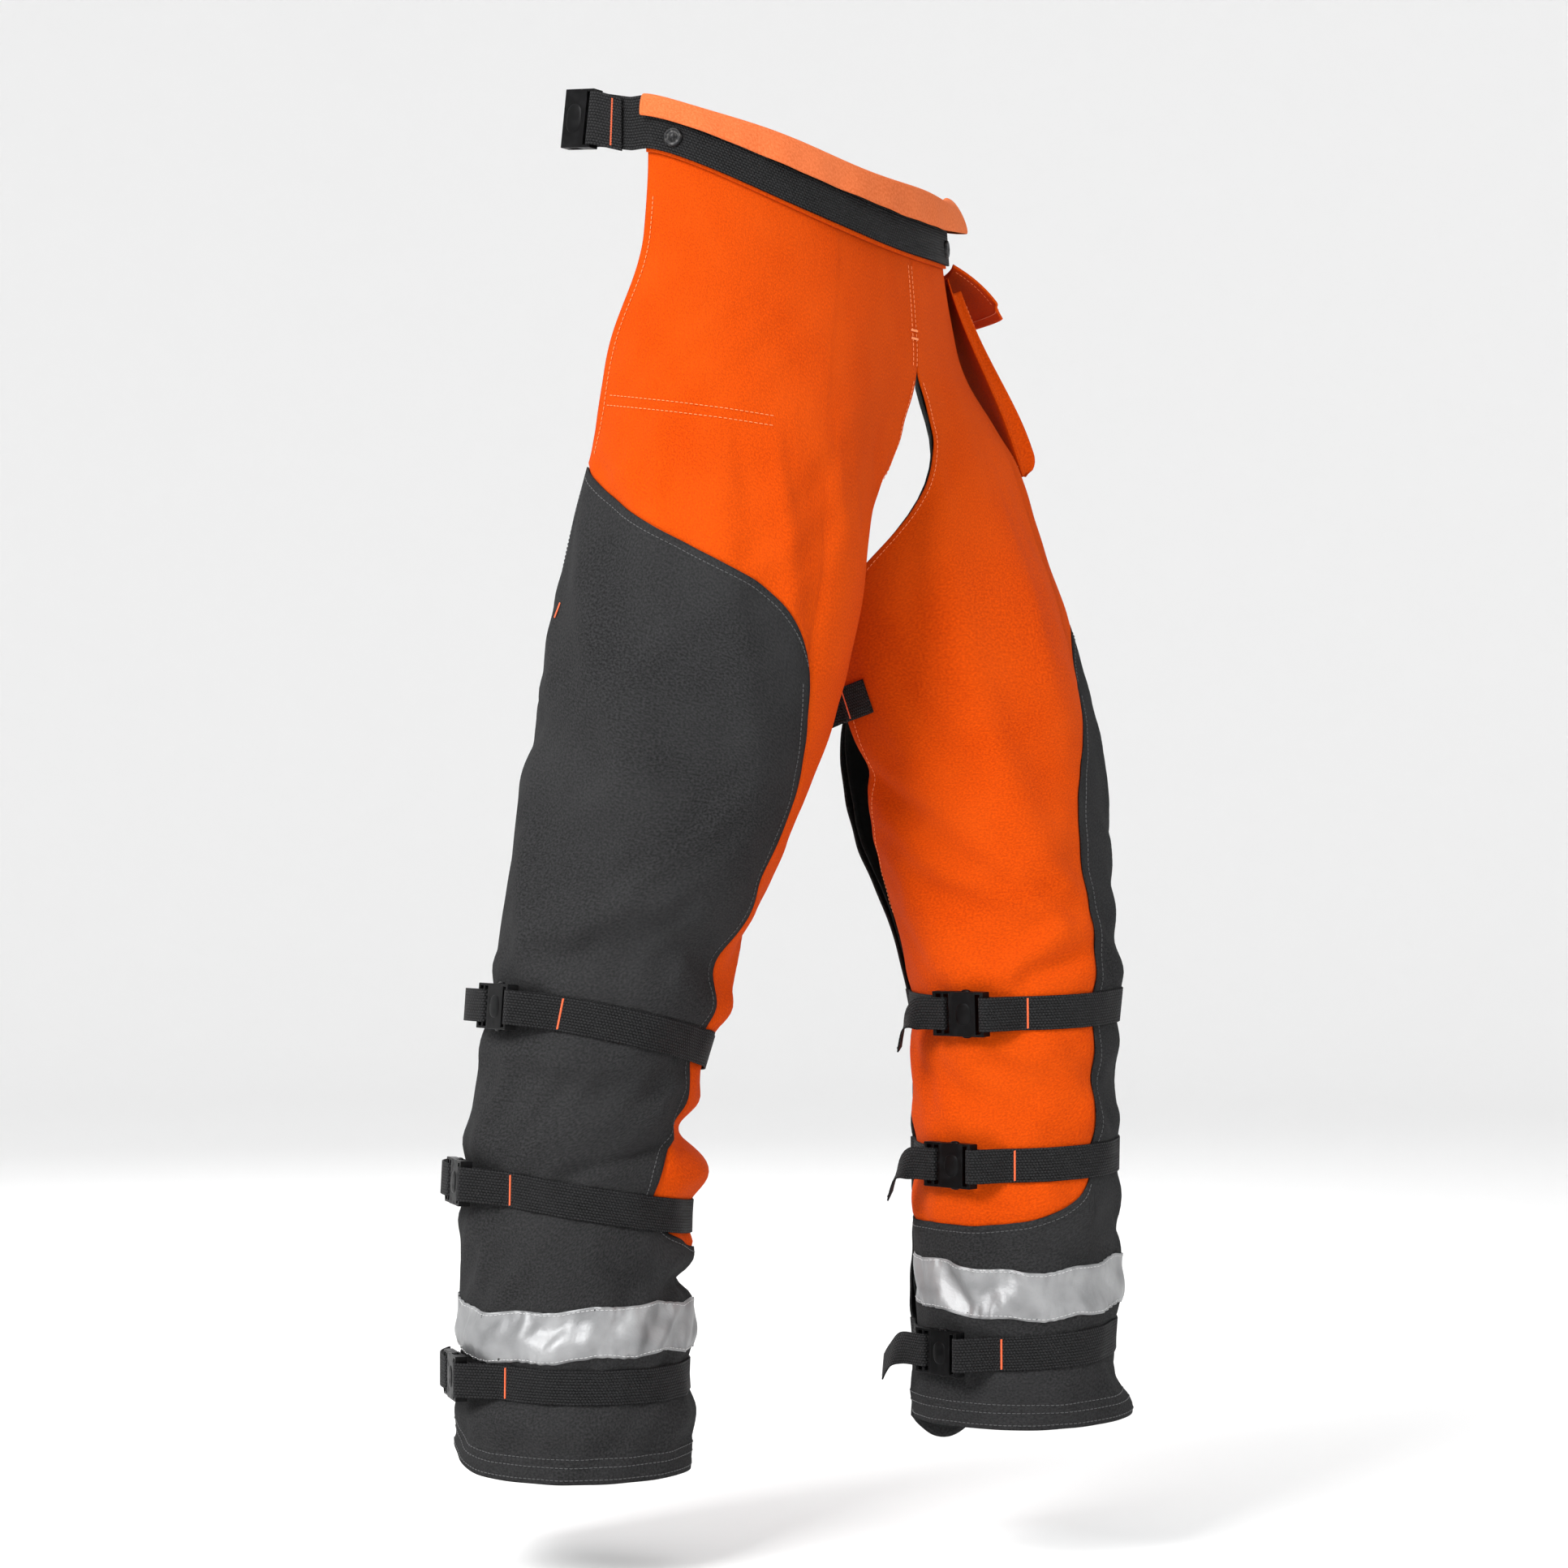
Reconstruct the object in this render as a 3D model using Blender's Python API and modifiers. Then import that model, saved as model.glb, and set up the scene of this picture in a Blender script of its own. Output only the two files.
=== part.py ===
"""Chainsaw chaps: an apron worn over trousers, with two buckled legs, in mid-stride.

Metres, +Z up. The origin is the middle of the waist opening. The wearer faces -Y and the
wearer's right hand is at -X. In each section, "front" means towards -Y. An angle is counted
from the front, positive towards the wearer's left (+X).
"""

import math

import bmesh
import bpy
from mathutils import Matrix, Vector

# Heights above the origin. The bent left knee draws the lower end of its leg up.
HEM_Z = {"right": -0.955, "left": -0.924}
BAND_Z = {"right": -0.848, "left": -0.822}
CUFF_Z = -0.775
CORNER_Z = -0.343
GREY_TOP_Z = -0.222
CREASE_Z = -0.138
BLEND_TOP_Z = -0.080
BLEND_END_Z = -0.320

# Waist: half of an ellipse, higher at the hips than at the front.
WAIST_X = 0.165
WAIST_Y = 0.120
HIP_X = 0.180
HIP_Y = 0.129
WAIST_END = math.radians(96)
HIP_END = {"right": math.radians(101), "left": math.radians(70)}
HIP_TOP_Z = -0.040
WAIST_COLUMNS = 22
HIP_BELT_Z = {"right": 0.001, "left": -0.016}
FRONT_BELT_Z = -0.060
BELT_CURVE = 1.3
BELT_WIDTH = 0.038
BAND_TOP = (0.036, 0.048)
BAND_LIP = 0.003
FOLD_LOW = (0.024, 0.027)
WEBBING = 0.0020
BELT_OUT = 0.0056
BELT_REACH = 0.022
WAIST_BUCKLE_SCALE = 1.27
STUD_RADIUS = 0.0050
STUD_ANGLES = {"right_stud": -80, "front_stud": 24, "left_stud": 80}

# Legs.
SIDES = {"right": -1, "left": 1}
LEG_X = 0.100
THIGH_RADII = {"right": (0.094, 0.116), "left": (0.092, 0.108)}
CALF_RADII = {"right": (0.081, 0.086), "left": (0.073, 0.077)}
HIP_FRONT = {"right": 0.022, "left": 0.038}
FOOT_FRONT = {"right": -0.105, "left": 0.161}
LEAN_TOP_Z = {"right": -0.200, "left": -0.080}
LEAN_END_Z = {"right": -0.780, "left": -0.630}
FORK_ANGLE = {"right": math.radians(3), "left": math.radians(9)}
INNER_EDGE = (math.radians(-36), math.radians(-122))
OUTER_EDGE = {"right": math.radians(132), "left": math.radians(92)}
REAR_EDGE = math.radians(174)
OUTER_OPENS_Z = {"right": (-0.160, -0.370), "left": (-0.240, -0.450)}
FLAP_UNDER = math.radians(-183)
FLAP_OVER = {"right": math.radians(206), "left": math.radians(192)}
INNER_OPENS_Z = (-0.160, -0.370)
WRAP_Z = (-0.420, -0.610)
LAP_HEIGHT = 0.0108
LAP_ANGLES = (math.radians(146), math.radians(176))
SLIM_END_Z = -0.665
FORK_END_Z = -0.198
SEAM_ANGLE = {"right": math.radians(-4), "left": math.radians(-10)}
CORNER_ANGLE = math.radians(17)
SEAM_END_Z = -0.485
SLOPE_BEND = 0.8

# Layers, measured inwards from the outer face of the shell.
SHELL = 0.0020
PAD = 0.0045
LINING = 0.0014
LAYER_GAP = 0.0036
PAD_ROOM = 0.0026
SEAM_GAP = 0.0004
SEAM_SHARE = 0.0015
INNER_COLUMNS = 8
OUTER_COLUMNS = 11
COLUMNS = INNER_COLUMNS + OUTER_COLUMNS
SPLIT = INNER_COLUMNS / COLUMNS
SHIN_ROWS = 9
THIGH_ROWS = 5
PAD_COLUMNS = (2, 15)
PAD_HEM = 0.045
FOLD_COLUMN = 4
BAND_HEIGHT = 0.036

# Hip crease: the cloth between hip panel and leg bends over this wedge.
CREASE_FRONT = 0.132
BACK_SWING = {"right": math.radians(14), "left": math.radians(26)}

# Leg straps: (angle of the buckle, height there, height opposite) for each calf strap.
STRAP_WIDTH = 0.025
STRAP_OFFSET = 0.0036
CALF_STRAPS = {
    "right": ((-118, -0.611, -0.650), (-132, -0.741, -0.770), (-134, -0.884, -0.887)),
    "left": ((-97, -0.618, -0.611), (-104, -0.730, -0.724), (-111, -0.869, -0.859)),
}
THIGH_STRAPS = {"right": (150, -0.372, -0.300), "left": (-148, -0.392, -0.322)}
STRAP_END = math.radians(17)
THIGH_REACH = math.radians(44)
BUCKLE_LIFT = 0.0078

# Side-release buckle for 25 mm webbing. The waist buckle is the same, scaled to its belt.
BUCKLE_WIDTH = 0.033
BUCKLE_DEPTH = 0.0090
SOCKET_LENGTH = 0.028
PLUG_LENGTH = 0.017
TONGUE_LENGTH = 0.019
WALL = 0.0018
PLAY = 0.0004
BAR = 0.0030
TAIL_LENGTH = 0.045

# Pocket on the wearer's left hip, hanging clear of the thigh, with its flap standing open.
POCKET_ANGLE = math.radians(60)
POCKET_Z = (-0.066, -0.216)
POCKET_WIDTH = 0.120
POCKET_DEPTHS = (0.012, 0.014)
POCKET_WALL = 0.0022
POCKET_TILT = math.radians(19)
FLAP_LENGTH = 0.052
FLAP_OPEN = math.radians(38)
FLAP_HINGE = (0.015, 0.005)

ORANGE = (0.90, 0.112, 0.009)
FOLD_ORANGE = (0.93, 0.17, 0.035)
GREY = (0.048, 0.048, 0.050)
BLACK = (0.020, 0.020, 0.022)
PLASTIC = (0.012, 0.012, 0.013)
SILVER = (0.52, 0.53, 0.54)
LINING_COLOUR = (0.060, 0.060, 0.065)
PAD_COLOUR = (0.75, 0.73, 0.66)
METAL = (0.10, 0.10, 0.10)


def clear_scene():
    for obj in list(bpy.data.objects):
        bpy.data.objects.remove(obj, do_unlink=True)


def new_collection(name, helpers=False):
    collection = bpy.data.collections.new(name)
    bpy.context.scene.collection.children.link(collection)
    collection.hide_render = helpers
    return collection


def material(name, colour, roughness, metallic=0.0):
    made = bpy.data.materials.new(name)
    made.use_nodes = True
    shader = made.node_tree.nodes["Principled BSDF"]
    shader.inputs["Base Color"].default_value = (*colour, 1.0)
    shader.inputs["Roughness"].default_value = roughness
    shader.inputs["Metallic"].default_value = metallic
    return made


def mix(a, b, t):
    return a + (b - a) * t


def ease(start, end, value):
    """0 at start, 1 at end, smooth between them."""
    t = min(max((value - start) / (end - start), 0.0), 1.0)
    return t * t * (3 - 2 * t)


# ---- the surface that a body would fill ----


def leg_centre(leg, z):
    lean = ease(LEAN_TOP_Z[leg], LEAN_END_Z[leg], z)
    return SIDES[leg] * LEG_X, mix(HIP_FRONT[leg], FOOT_FRONT[leg], lean)


def leg_radii(leg, z):
    slim = ease(CORNER_Z, SLIM_END_Z, z)
    thigh, calf = THIGH_RADII[leg], CALF_RADII[leg]
    return mix(thigh[0], calf[0], slim), mix(thigh[1], calf[1], slim)


def on_leg(leg, angle, z, out=0.0):
    """Point of the leg's tube at a world angle, 'out' metres outside the shell."""
    x, front = leg_centre(leg, z)
    radius_x, radius_y = leg_radii(leg, z)
    return Vector(
        (
            x + (radius_x + out) * math.sin(angle),
            -front - (radius_y + out) * math.cos(angle),
            z,
        )
    )


def on_waist(angle, z, out=0.0):
    wide = ease(0.0, CREASE_Z, z)
    radius_x = mix(WAIST_X, HIP_X, wide) + out
    radius_y = mix(WAIST_Y, HIP_Y, wide) + out
    return Vector((radius_x * math.sin(angle), -radius_y * math.cos(angle), z))


def edges(leg, z):
    """Angles of the inner and the outer edge of the leg's cloth, from front to outside."""
    open_part = ease(*INNER_OPENS_Z, z)
    wrap = ease(*WRAP_Z, z)
    inner = mix(mix(*INNER_EDGE, open_part), FLAP_UNDER, wrap)
    rearwards = ease(*OUTER_OPENS_Z[leg], z)
    outer = mix(mix(OUTER_EDGE[leg], REAR_EDGE, rearwards), FLAP_OVER[leg], wrap)
    return inner, outer


def lap(angle, z):
    """The outer flap stands off where it passes over the inner one."""
    return LAP_HEIGHT * ease(*WRAP_Z, z) * ease(*LAP_ANGLES, angle)


def share(leg, angle, z):
    inner, outer = edges(leg, z)
    return (angle - inner) / (outer - inner)


def cloth(leg, part, z, out=0.0):
    """Point of the chaps at a share 0 to 1 of the way from the inner to the outer edge."""
    side = SIDES[leg]
    inner, outer = edges(leg, z)
    angle = mix(inner, outer, part)
    hang = ease(BLEND_TOP_Z, BLEND_END_Z, z)
    low = on_leg(leg, side * angle, z, out + lap(angle, z))
    fork = FORK_ANGLE[leg] * ease(CREASE_Z, FORK_END_Z, z)
    end = mix(WAIST_END, HIP_END[leg], ease(HIP_TOP_Z, CREASE_Z, z))
    high = on_waist(side * mix(fork, end, part), z, out)
    point = high.lerp(low, hang)
    middle_gap = side * point.x - 2 * SEAM_GAP
    if middle_gap < 0:
        point.x -= side * middle_gap
    return point


def frontness(angle):
    """1 at the middle of the front, 0 at the hips and behind them."""
    return max(math.cos(angle), 0.0) ** BELT_CURVE


def belt_z(angle):
    """Height of the belt's lower edge."""
    hip = HIP_BELT_Z["left" if angle > 0 else "right"]
    return mix(hip, FRONT_BELT_Z, frontness(angle))


def crease_z(leg, front):
    """Height of the wedge's lower edge at a distance forward of the origin."""
    behind = max(CREASE_FRONT - front, 0.0)
    return CREASE_Z - behind * math.tan(BACK_SWING[leg])


def seam_share(leg, z):
    """Where the front panel meets the outer panel, from the thigh's corner down the shin."""
    angle = mix(CORNER_ANGLE, SEAM_ANGLE[leg], ease(CORNER_Z, SEAM_END_Z, z))
    return share(leg, angle, z)


def column(leg, across, z):
    """Share of the way round of a grid column. All layers use the same columns."""
    seam = seam_share(leg, z)
    if across <= SPLIT:
        return seam * across / SPLIT
    return mix(seam, 1.0, (across - SPLIT) / (1 - SPLIT))


def slope_z(across):
    """Height of the outer panel's upper edge, which climbs from the corner to the rear."""
    climb = max(across - SPLIT, 0.0) / (1 - SPLIT)
    return mix(CORNER_Z, GREY_TOP_Z, climb**SLOPE_BEND)


# ---- cloth pieces ----


def smooth(mesh, angle=40):
    mesh.shade_smooth()
    mesh.set_sharp_from_angle(angle=math.radians(angle))


def sheet(name, columns, rows, place, thickness, look, home, keep=None, outward=1):
    """A grid of unit size whose points are placed by place(across, up), made solid."""
    shape = bmesh.new()
    bmesh.ops.create_grid(shape, x_segments=columns, y_segments=rows, size=0.5)
    if keep:
        spare = [f for f in shape.faces if not keep(*(c + 0.5 for c in f.calc_center_median().xy))]
        bmesh.ops.delete(shape, geom=spare, context="FACES")
    for vert in shape.verts:
        vert.co = place(vert.co.x + 0.5, vert.co.y + 0.5)
    if outward < 0:
        bmesh.ops.reverse_faces(shape, faces=shape.faces)
    mesh = bpy.data.meshes.new(name)
    shape.to_mesh(mesh)
    shape.free()
    smooth(mesh)
    obj = bpy.data.objects.new(name, mesh)
    home.objects.link(obj)
    mesh.materials.append(look)
    solid = obj.modifiers.new("thickness", "SOLIDIFY")
    solid.thickness = thickness
    solid.offset = -1.0
    return obj


def facing(leg):
    """Across runs to the wearer's left on the left leg, which faces the grid outwards."""
    return 1 if leg == "left" else -1


def leg_top(leg, across):
    """The leg piece ends at the lower edge of the hip crease's wedge."""
    z = CREASE_Z
    for _ in range(4):
        z = crease_z(leg, -cloth(leg, column(leg, across, z), z).y)
    return z - SEAM_GAP


def hip_panel(leg, look, home):
    def place(across, up):
        angle = SIDES[leg] * across * WAIST_END
        top = belt_z(angle) + mix(*BAND_TOP, frontness(angle)) - BAND_LIP
        return cloth(leg, across, mix(CREASE_Z + SEAM_GAP, top, up))

    return sheet(f"{leg}_hip_panel", 14, 6, place, SHELL, look, home, outward=facing(leg))


def hip_fold(leg, look, home):
    """Cloth between hip panel and leg: it folds as the leg swings back."""

    def place(across, up):
        spot = mix(FOLD_COLUMN / COLUMNS, 1.0, across)
        z = mix(leg_top(leg, spot) + 2 * SEAM_GAP, CREASE_Z - SEAM_GAP, up)
        return cloth(leg, column(leg, spot, z), z)

    columns = COLUMNS - FOLD_COLUMN
    return sheet(f"{leg}_hip_fold", columns, 2, place, SHELL, look, home, outward=facing(leg))


def front_panel(leg, look, home):
    """Orange panel: the shin and inner side, and the whole width above the outer panel."""
    rows = SHIN_ROWS + THIGH_ROWS
    shin = SHIN_ROWS / rows

    def place(across, up):
        low = CORNER_Z if across <= SPLIT else slope_z(across) + SEAM_GAP
        if up < shin - 1e-6:
            z = mix(CUFF_Z, CORNER_Z, up / shin)
        else:
            z = mix(low, leg_top(leg, across), (up - shin) / (1 - shin))
        part = column(leg, across, z)
        if abs(across - SPLIT) < 1e-6 and up < shin:
            part -= SEAM_SHARE
        return cloth(leg, part, z)

    def keep(across, up):
        return across < SPLIT or up > shin

    name = f"{leg}_front_panel"
    return sheet(name, COLUMNS, rows, place, SHELL, look, home, keep, facing(leg))


def outer_panel(leg, look, home):
    """Dark outer panel, L-shaped: its lower part is the cuff that goes right round."""
    cuff_rows = 4
    rows = cuff_rows + SHIN_ROWS
    cuff = cuff_rows / rows

    def place(across, up):
        cuff_z = CUFF_Z - 2 * SEAM_GAP
        if up <= cuff + 1e-6:
            z = mix(HEM_Z[leg], cuff_z, up / cuff)
        else:
            z = mix(cuff_z, slope_z(across) - SEAM_GAP, (up - cuff) / (1 - cuff))
        part = column(leg, across, z)
        if abs(across - SPLIT) < 1e-6 and up > cuff - 1e-6:
            part += SEAM_SHARE
        return cloth(leg, part, z)

    def keep(across, up):
        return up < cuff or across > SPLIT

    name = f"{leg}_outer_panel"
    return sheet(name, COLUMNS, rows, place, SHELL, look, home, keep, facing(leg))


def layer_z(leg, across, row, cuff_rows, low):
    """Height of a row of the inner layers, on the front panel's own rows."""
    if row < cuff_rows:
        return mix(HEM_Z[leg] + low, CUFF_Z, row / cuff_rows)
    if row < cuff_rows + SHIN_ROWS:
        return mix(CUFF_Z, CORNER_Z, (row - cuff_rows) / SHIN_ROWS)
    top = leg_top(leg, across) - 0.003
    return mix(CORNER_Z, top, (row - cuff_rows - SHIN_ROWS) / THIGH_ROWS)


def pad(leg, look, home):
    first, last = PAD_COLUMNS
    cuff_rows = 2
    rows = cuff_rows + SHIN_ROWS + THIGH_ROWS

    def place(across, up):
        spot = mix(first, last, across) / COLUMNS
        z = layer_z(leg, spot, round(up * rows), cuff_rows, PAD_HEM)
        return cloth(leg, column(leg, spot, z), z, -(SHELL + PAD_ROOM))

    name = f"{leg}_protection_pad"
    return sheet(name, last - first, rows, place, PAD, look, home, outward=facing(leg))


def lining(leg, look, home):
    """It lies behind the pad, and straight against the shell beyond the pad's edges."""
    cuff_rows = 3
    rows = cuff_rows + SHIN_ROWS + THIGH_ROWS

    def place(across, up):
        z = layer_z(leg, across, round(up * rows), cuff_rows, 0.006)
        index = across * COLUMNS
        padded = ease(PAD_COLUMNS[0] - 2, PAD_COLUMNS[0] - 0.9, index)
        padded *= ease(PAD_COLUMNS[1] + 2, PAD_COLUMNS[1] + 0.9, index)
        depth = SHELL + LAYER_GAP + padded * (PAD_ROOM + PAD)
        return cloth(leg, column(leg, across, z), z, -depth)

    return sheet(f"{leg}_lining", COLUMNS, rows, place, LINING, look, home, outward=facing(leg))


def band(leg, look, home):
    def place(across, up):
        z = BAND_Z[leg] + BAND_HEIGHT * (up - 0.5)
        part = column(leg, mix(2, COLUMNS - 0.5, across) / COLUMNS, z)
        return cloth(leg, part, z, 0.0016)

    name = f"{leg}_reflective_band"
    columns = 2 * COLUMNS - 5
    return sheet(name, columns, 1, place, 0.0008, look, home, outward=facing(leg))


# ---- waist ----


def waist_strip(name, low, high, out, look, home):
    """Strip round the front from hip to hip; its edges are (at the hip, at the front)."""

    def place(across, up):
        angle = mix(-WAIST_END, WAIST_END, across)
        front = frontness(angle)
        z = belt_z(angle) + mix(mix(*low, front), mix(*high, front), up)
        return on_waist(angle, z, out)

    return sheet(name, WAIST_COLUMNS, 2, place, SHELL, look, home)


def ribbon(name, stations, thickness, look, home):
    """Webbing through stations, each the two points on its lower and its upper edge."""
    last = len(stations) - 1

    def place(along, up):
        low, high = stations[round(along * last)]
        return low.lerp(high, up)

    return sheet(name, last, 1, place, thickness, look, home)


# ---- buckles ----


def box(shape, low, high):
    """Adds a box between two corners to a bmesh."""
    low, high = Vector(low), Vector(high)
    spot = Matrix.Translation((low + high) / 2) @ Matrix.Diagonal((*(high - low), 1))
    return bmesh.ops.create_cube(shape, size=1.0, matrix=spot)["verts"]


def boxes(name, corners, look, home, spot, bevel=0.0):
    shape = bmesh.new()
    for low, high in corners:
        box(shape, low, high)
    mesh = bpy.data.meshes.new(name)
    shape.to_mesh(mesh)
    shape.free()
    obj = bpy.data.objects.new(name, mesh)
    home.objects.link(obj)
    mesh.materials.append(look)
    obj.matrix_world = spot
    if bevel:
        rounded = obj.modifiers.new("edges", "BEVEL")
        rounded.width = bevel
        rounded.segments = 1
    return obj


def combine(obj, other, how, helpers):
    """Boolean on the object, with the other piece kept as a hidden helper."""
    for holder in list(other.users_collection):
        holder.objects.unlink(other)
    helpers.objects.link(other)
    other.hide_render = True
    other.display_type = "WIRE"
    cut = obj.modifiers.new(how.lower(), "BOOLEAN")
    cut.operation = how
    cut.solver = "EXACT"
    cut.object = other


def socket(name, spot, scale, looks, home, helpers):
    """Female half: its mouth is at x = 0, and its webbing bar is at +x."""
    half, depth = scale * BUCKLE_WIDTH / 2, BUCKLE_DEPTH / 2
    length = SOCKET_LENGTH
    body = boxes(name, [((0, -half, -depth), (length, half, depth))], looks["plastic"], home, spot)
    inside = half - WALL
    window = half + WALL
    hollow = [((-WALL, -inside, WALL - depth), (length - 0.009, inside, depth - WALL))]
    slot = [((length - 0.007, WALL - half, -2 * depth), (length - BAR, half - WALL, 2 * depth))]
    sides = [((0.006, -window, WALL - depth), (length - 0.013, window, depth - WALL))]
    for label, corners in (("hollow", hollow), ("slot", slot), ("sides", sides)):
        cutter = boxes(f"{name}_{label}", corners, looks["plastic"], home, spot)
        combine(body, cutter, "DIFFERENCE", helpers)
    return body


def plug(name, spot, scale, looks, home, helpers):
    """Male half: its shoulder is at x = 0, its prongs point to +x, its bars are at -x."""
    half, depth = scale * BUCKLE_WIDTH / 2, BUCKLE_DEPTH / 2
    length = PLUG_LENGTH
    base = [((-length, -half, -depth + 0.001), (-PLAY, half, depth - 0.001))]
    body = boxes(name, base, looks["plastic"], home, spot)
    tongue = half - WALL - 2 * PLAY
    thin = depth - WALL - 2 * PLAY
    reach = TONGUE_LENGTH - 0.002
    fork = [((-0.003, -tongue, -thin), (reach, tongue, thin))]
    prongs = boxes(f"{name}_prongs", fork, looks["plastic"], home, spot)
    combine(body, prongs, "UNION", helpers)
    gap = tongue - 0.004
    between = [
        ((0.003, -gap, -depth), (TONGUE_LENGTH, -0.0018, depth)),
        ((0.003, 0.0018, -depth), (TONGUE_LENGTH, gap, depth)),
    ]
    slots = [
        ((-length + BAR, WALL - half, -2 * depth), (-length + BAR + 0.0042, half - WALL, 2 * depth)),
        ((-BAR - 0.0042, WALL - half, -2 * depth), (-BAR, half - WALL, 2 * depth)),
    ]
    for label, corners in (("between", between), ("slots", slots)):
        cutter = boxes(f"{name}_{label}", corners, looks["plastic"], home, spot)
        combine(body, cutter, "DIFFERENCE", helpers)
    return body


def frame_at(origin, along, outward):
    """Matrix with x along the strap and z outwards."""
    x = along.normalized()
    y = outward.cross(x).normalized()
    z = x.cross(y)
    turn = Matrix((x, y, z)).transposed().to_4x4()
    return Matrix.Translation(origin) @ turn


def strap_z(turn, buckle_z, far_z):
    """Height along a leg strap: 'turn' is the angle gone round from the buckle."""
    return mix(buckle_z, far_z, (1 - math.cos(turn)) / 2)


def strap_room(leg, angle, z):
    """Extra room where a strap passes over the outer flap and its edge."""
    local = (SIDES[leg] * angle) % math.tau
    beyond = 1 - ease(FLAP_OVER[leg] + 0.02, FLAP_OVER[leg] + 0.30, local)
    return (lap(min(local, FLAP_OVER[leg]), z) + 0.0010) * beyond


def strap_station(leg, start, turn, heights, out):
    """Both edges of a leg strap, each on the leg's surface at its own height."""
    angle = start + turn
    z = strap_z(turn, *heights)
    out += strap_room(leg, angle, z)
    return tuple(on_leg(leg, angle, z + k * STRAP_WIDTH, out) for k in (-0.5, 0.5))


def buckle_frame(leg, angle, heights, out):
    """Frame of a leg buckle: the female half and its webbing lie towards +x."""
    z = heights[0]
    out += strap_room(leg, angle, z)
    step = 0.01
    rise = on_leg(leg, angle, z + step, out) - on_leg(leg, angle, z - step, out)
    along = on_leg(leg, angle + step, z, out) - on_leg(leg, angle - step, z, out)
    return frame_at(on_leg(leg, angle, z, out), along, along.cross(rise))


def in_frame(spot, x, z, width):
    return tuple(spot @ Vector((x, k * width, z)) for k in (-0.5, 0.5))


def socket_loop(spot, width):
    """Webbing over the female half's bar, down through its slot and back under it."""
    slot_x, over = SOCKET_LENGTH - BAR - 0.0004, BUCKLE_DEPTH / 2 + 0.0004
    route = [(SOCKET_LENGTH + 0.003, over), (slot_x, over)]
    route += [(slot_x, -over), (SOCKET_LENGTH + 0.003, -over)]
    return [in_frame(spot, x, z, width) for x, z in route]


def plug_tail(name, spot, width, droop, looks, home):
    """Webbing through the male half's bars: in from below, over the middle bar, and free."""
    over = BUCKLE_DEPTH / 2 - 0.0006
    slot_x, start_x, end_x = -BAR - 0.0036, -PLUG_LENGTH + 0.001, -PLUG_LENGTH - 0.003
    route = [(start_x, -over), (slot_x, -over), (slot_x, over), (end_x, over)]
    stations = [in_frame(spot, x, z, width) for x, z in route]
    for k in range(1, 4):
        low, high = in_frame(spot, end_x - k * TAIL_LENGTH / 4, over, width)
        sag = Vector((0, 0, -droop * k * k))
        stations.append((low + sag, high + sag))
    ribbon(name, stations, 0.0011, looks["webbing"], home)


def strap(name, leg, buckle, runs, looks, home, helpers):
    """One leg strap. 'runs' lists the (start, end) of webbing round from the buckle."""
    angle_degrees, *heights = buckle
    angle = math.radians(angle_degrees)
    spot = buckle_frame(leg, angle, heights, BUCKLE_LIFT)
    socket(f"{name}_socket", spot, 1.0, looks, home, helpers)
    plug(f"{name}_plug", spot, 1.0, looks, home, helpers)
    plug_tail(f"{name}_tail", spot, STRAP_WIDTH - 0.001, 0.0030, looks, home)
    for label, (first, last) in zip(("webbing", "anchor"), runs):
        steps = max(round((last - first) / math.radians(11)), 2)
        turns = [mix(first, last, step / steps) for step in range(steps + 1)]
        stations = [strap_station(leg, angle, t, heights, STRAP_OFFSET) for t in turns]
        if label == "webbing":
            tack = strap_station(leg, angle, first + 0.04, heights, STRAP_OFFSET + 0.0012)
            stations = [tack, *socket_loop(spot, STRAP_WIDTH), *stations]
        ribbon(f"{name}_{label}", stations, WEBBING, looks["webbing"], home)


# ---- waist belt, studs and pocket ----


def belt_frame(side):
    """Frame past the hip: x runs straight back along the belt, z outwards."""
    hip = on_waist(side * WAIST_END, 0.0, BELT_OUT)
    z = belt_z(side * WAIST_END) + BELT_WIDTH / 2 + 0.006
    origin = Vector((hip.x, hip.y + BELT_REACH, z))
    along = Vector((-side * 0.16, 1.0, 0.12))
    return frame_at(origin, along, Vector((side, 0, 0)))


def belt_station(angle, out):
    z = belt_z(angle)
    return on_waist(angle, z, out), on_waist(angle, z + BELT_WIDTH, out)


def waist_belt(looks, home, helpers):
    """Webbing from the socket's loop at the right hip, round the front, to the plug."""
    right, left = belt_frame(-1), belt_frame(1)
    turned = Matrix.Rotation(math.pi, 4, "Z")
    socket_spot = right @ Matrix.Translation((SOCKET_LENGTH + 0.008, 0, 0)) @ turned
    socket("waist_socket", socket_spot, WAIST_BUCKLE_SCALE, looks, home, helpers)
    angles = [mix(-WAIST_END, WAIST_END, step / WAIST_COLUMNS) for step in range(WAIST_COLUMNS + 1)]
    loop = socket_loop(socket_spot, BELT_WIDTH)
    stations = [belt_station(-WAIST_END - 0.05, BELT_OUT + WEBBING), *loop]
    stations += [belt_station(angle, BELT_OUT) for angle in angles]
    stations.append(in_frame(left, -0.004, -0.0012, BELT_WIDTH))
    ribbon("waist_belt", stations, WEBBING, looks["webbing"], home)

    plug_spot = left @ Matrix.Translation((PLUG_LENGTH + 0.002, 0, 0.0052))
    plug("waist_plug", plug_spot, WAIST_BUCKLE_SCALE, looks, home, helpers)
    plug_tail("waist_tail", plug_spot, BELT_WIDTH - 0.002, 0.0, looks, home)


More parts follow.
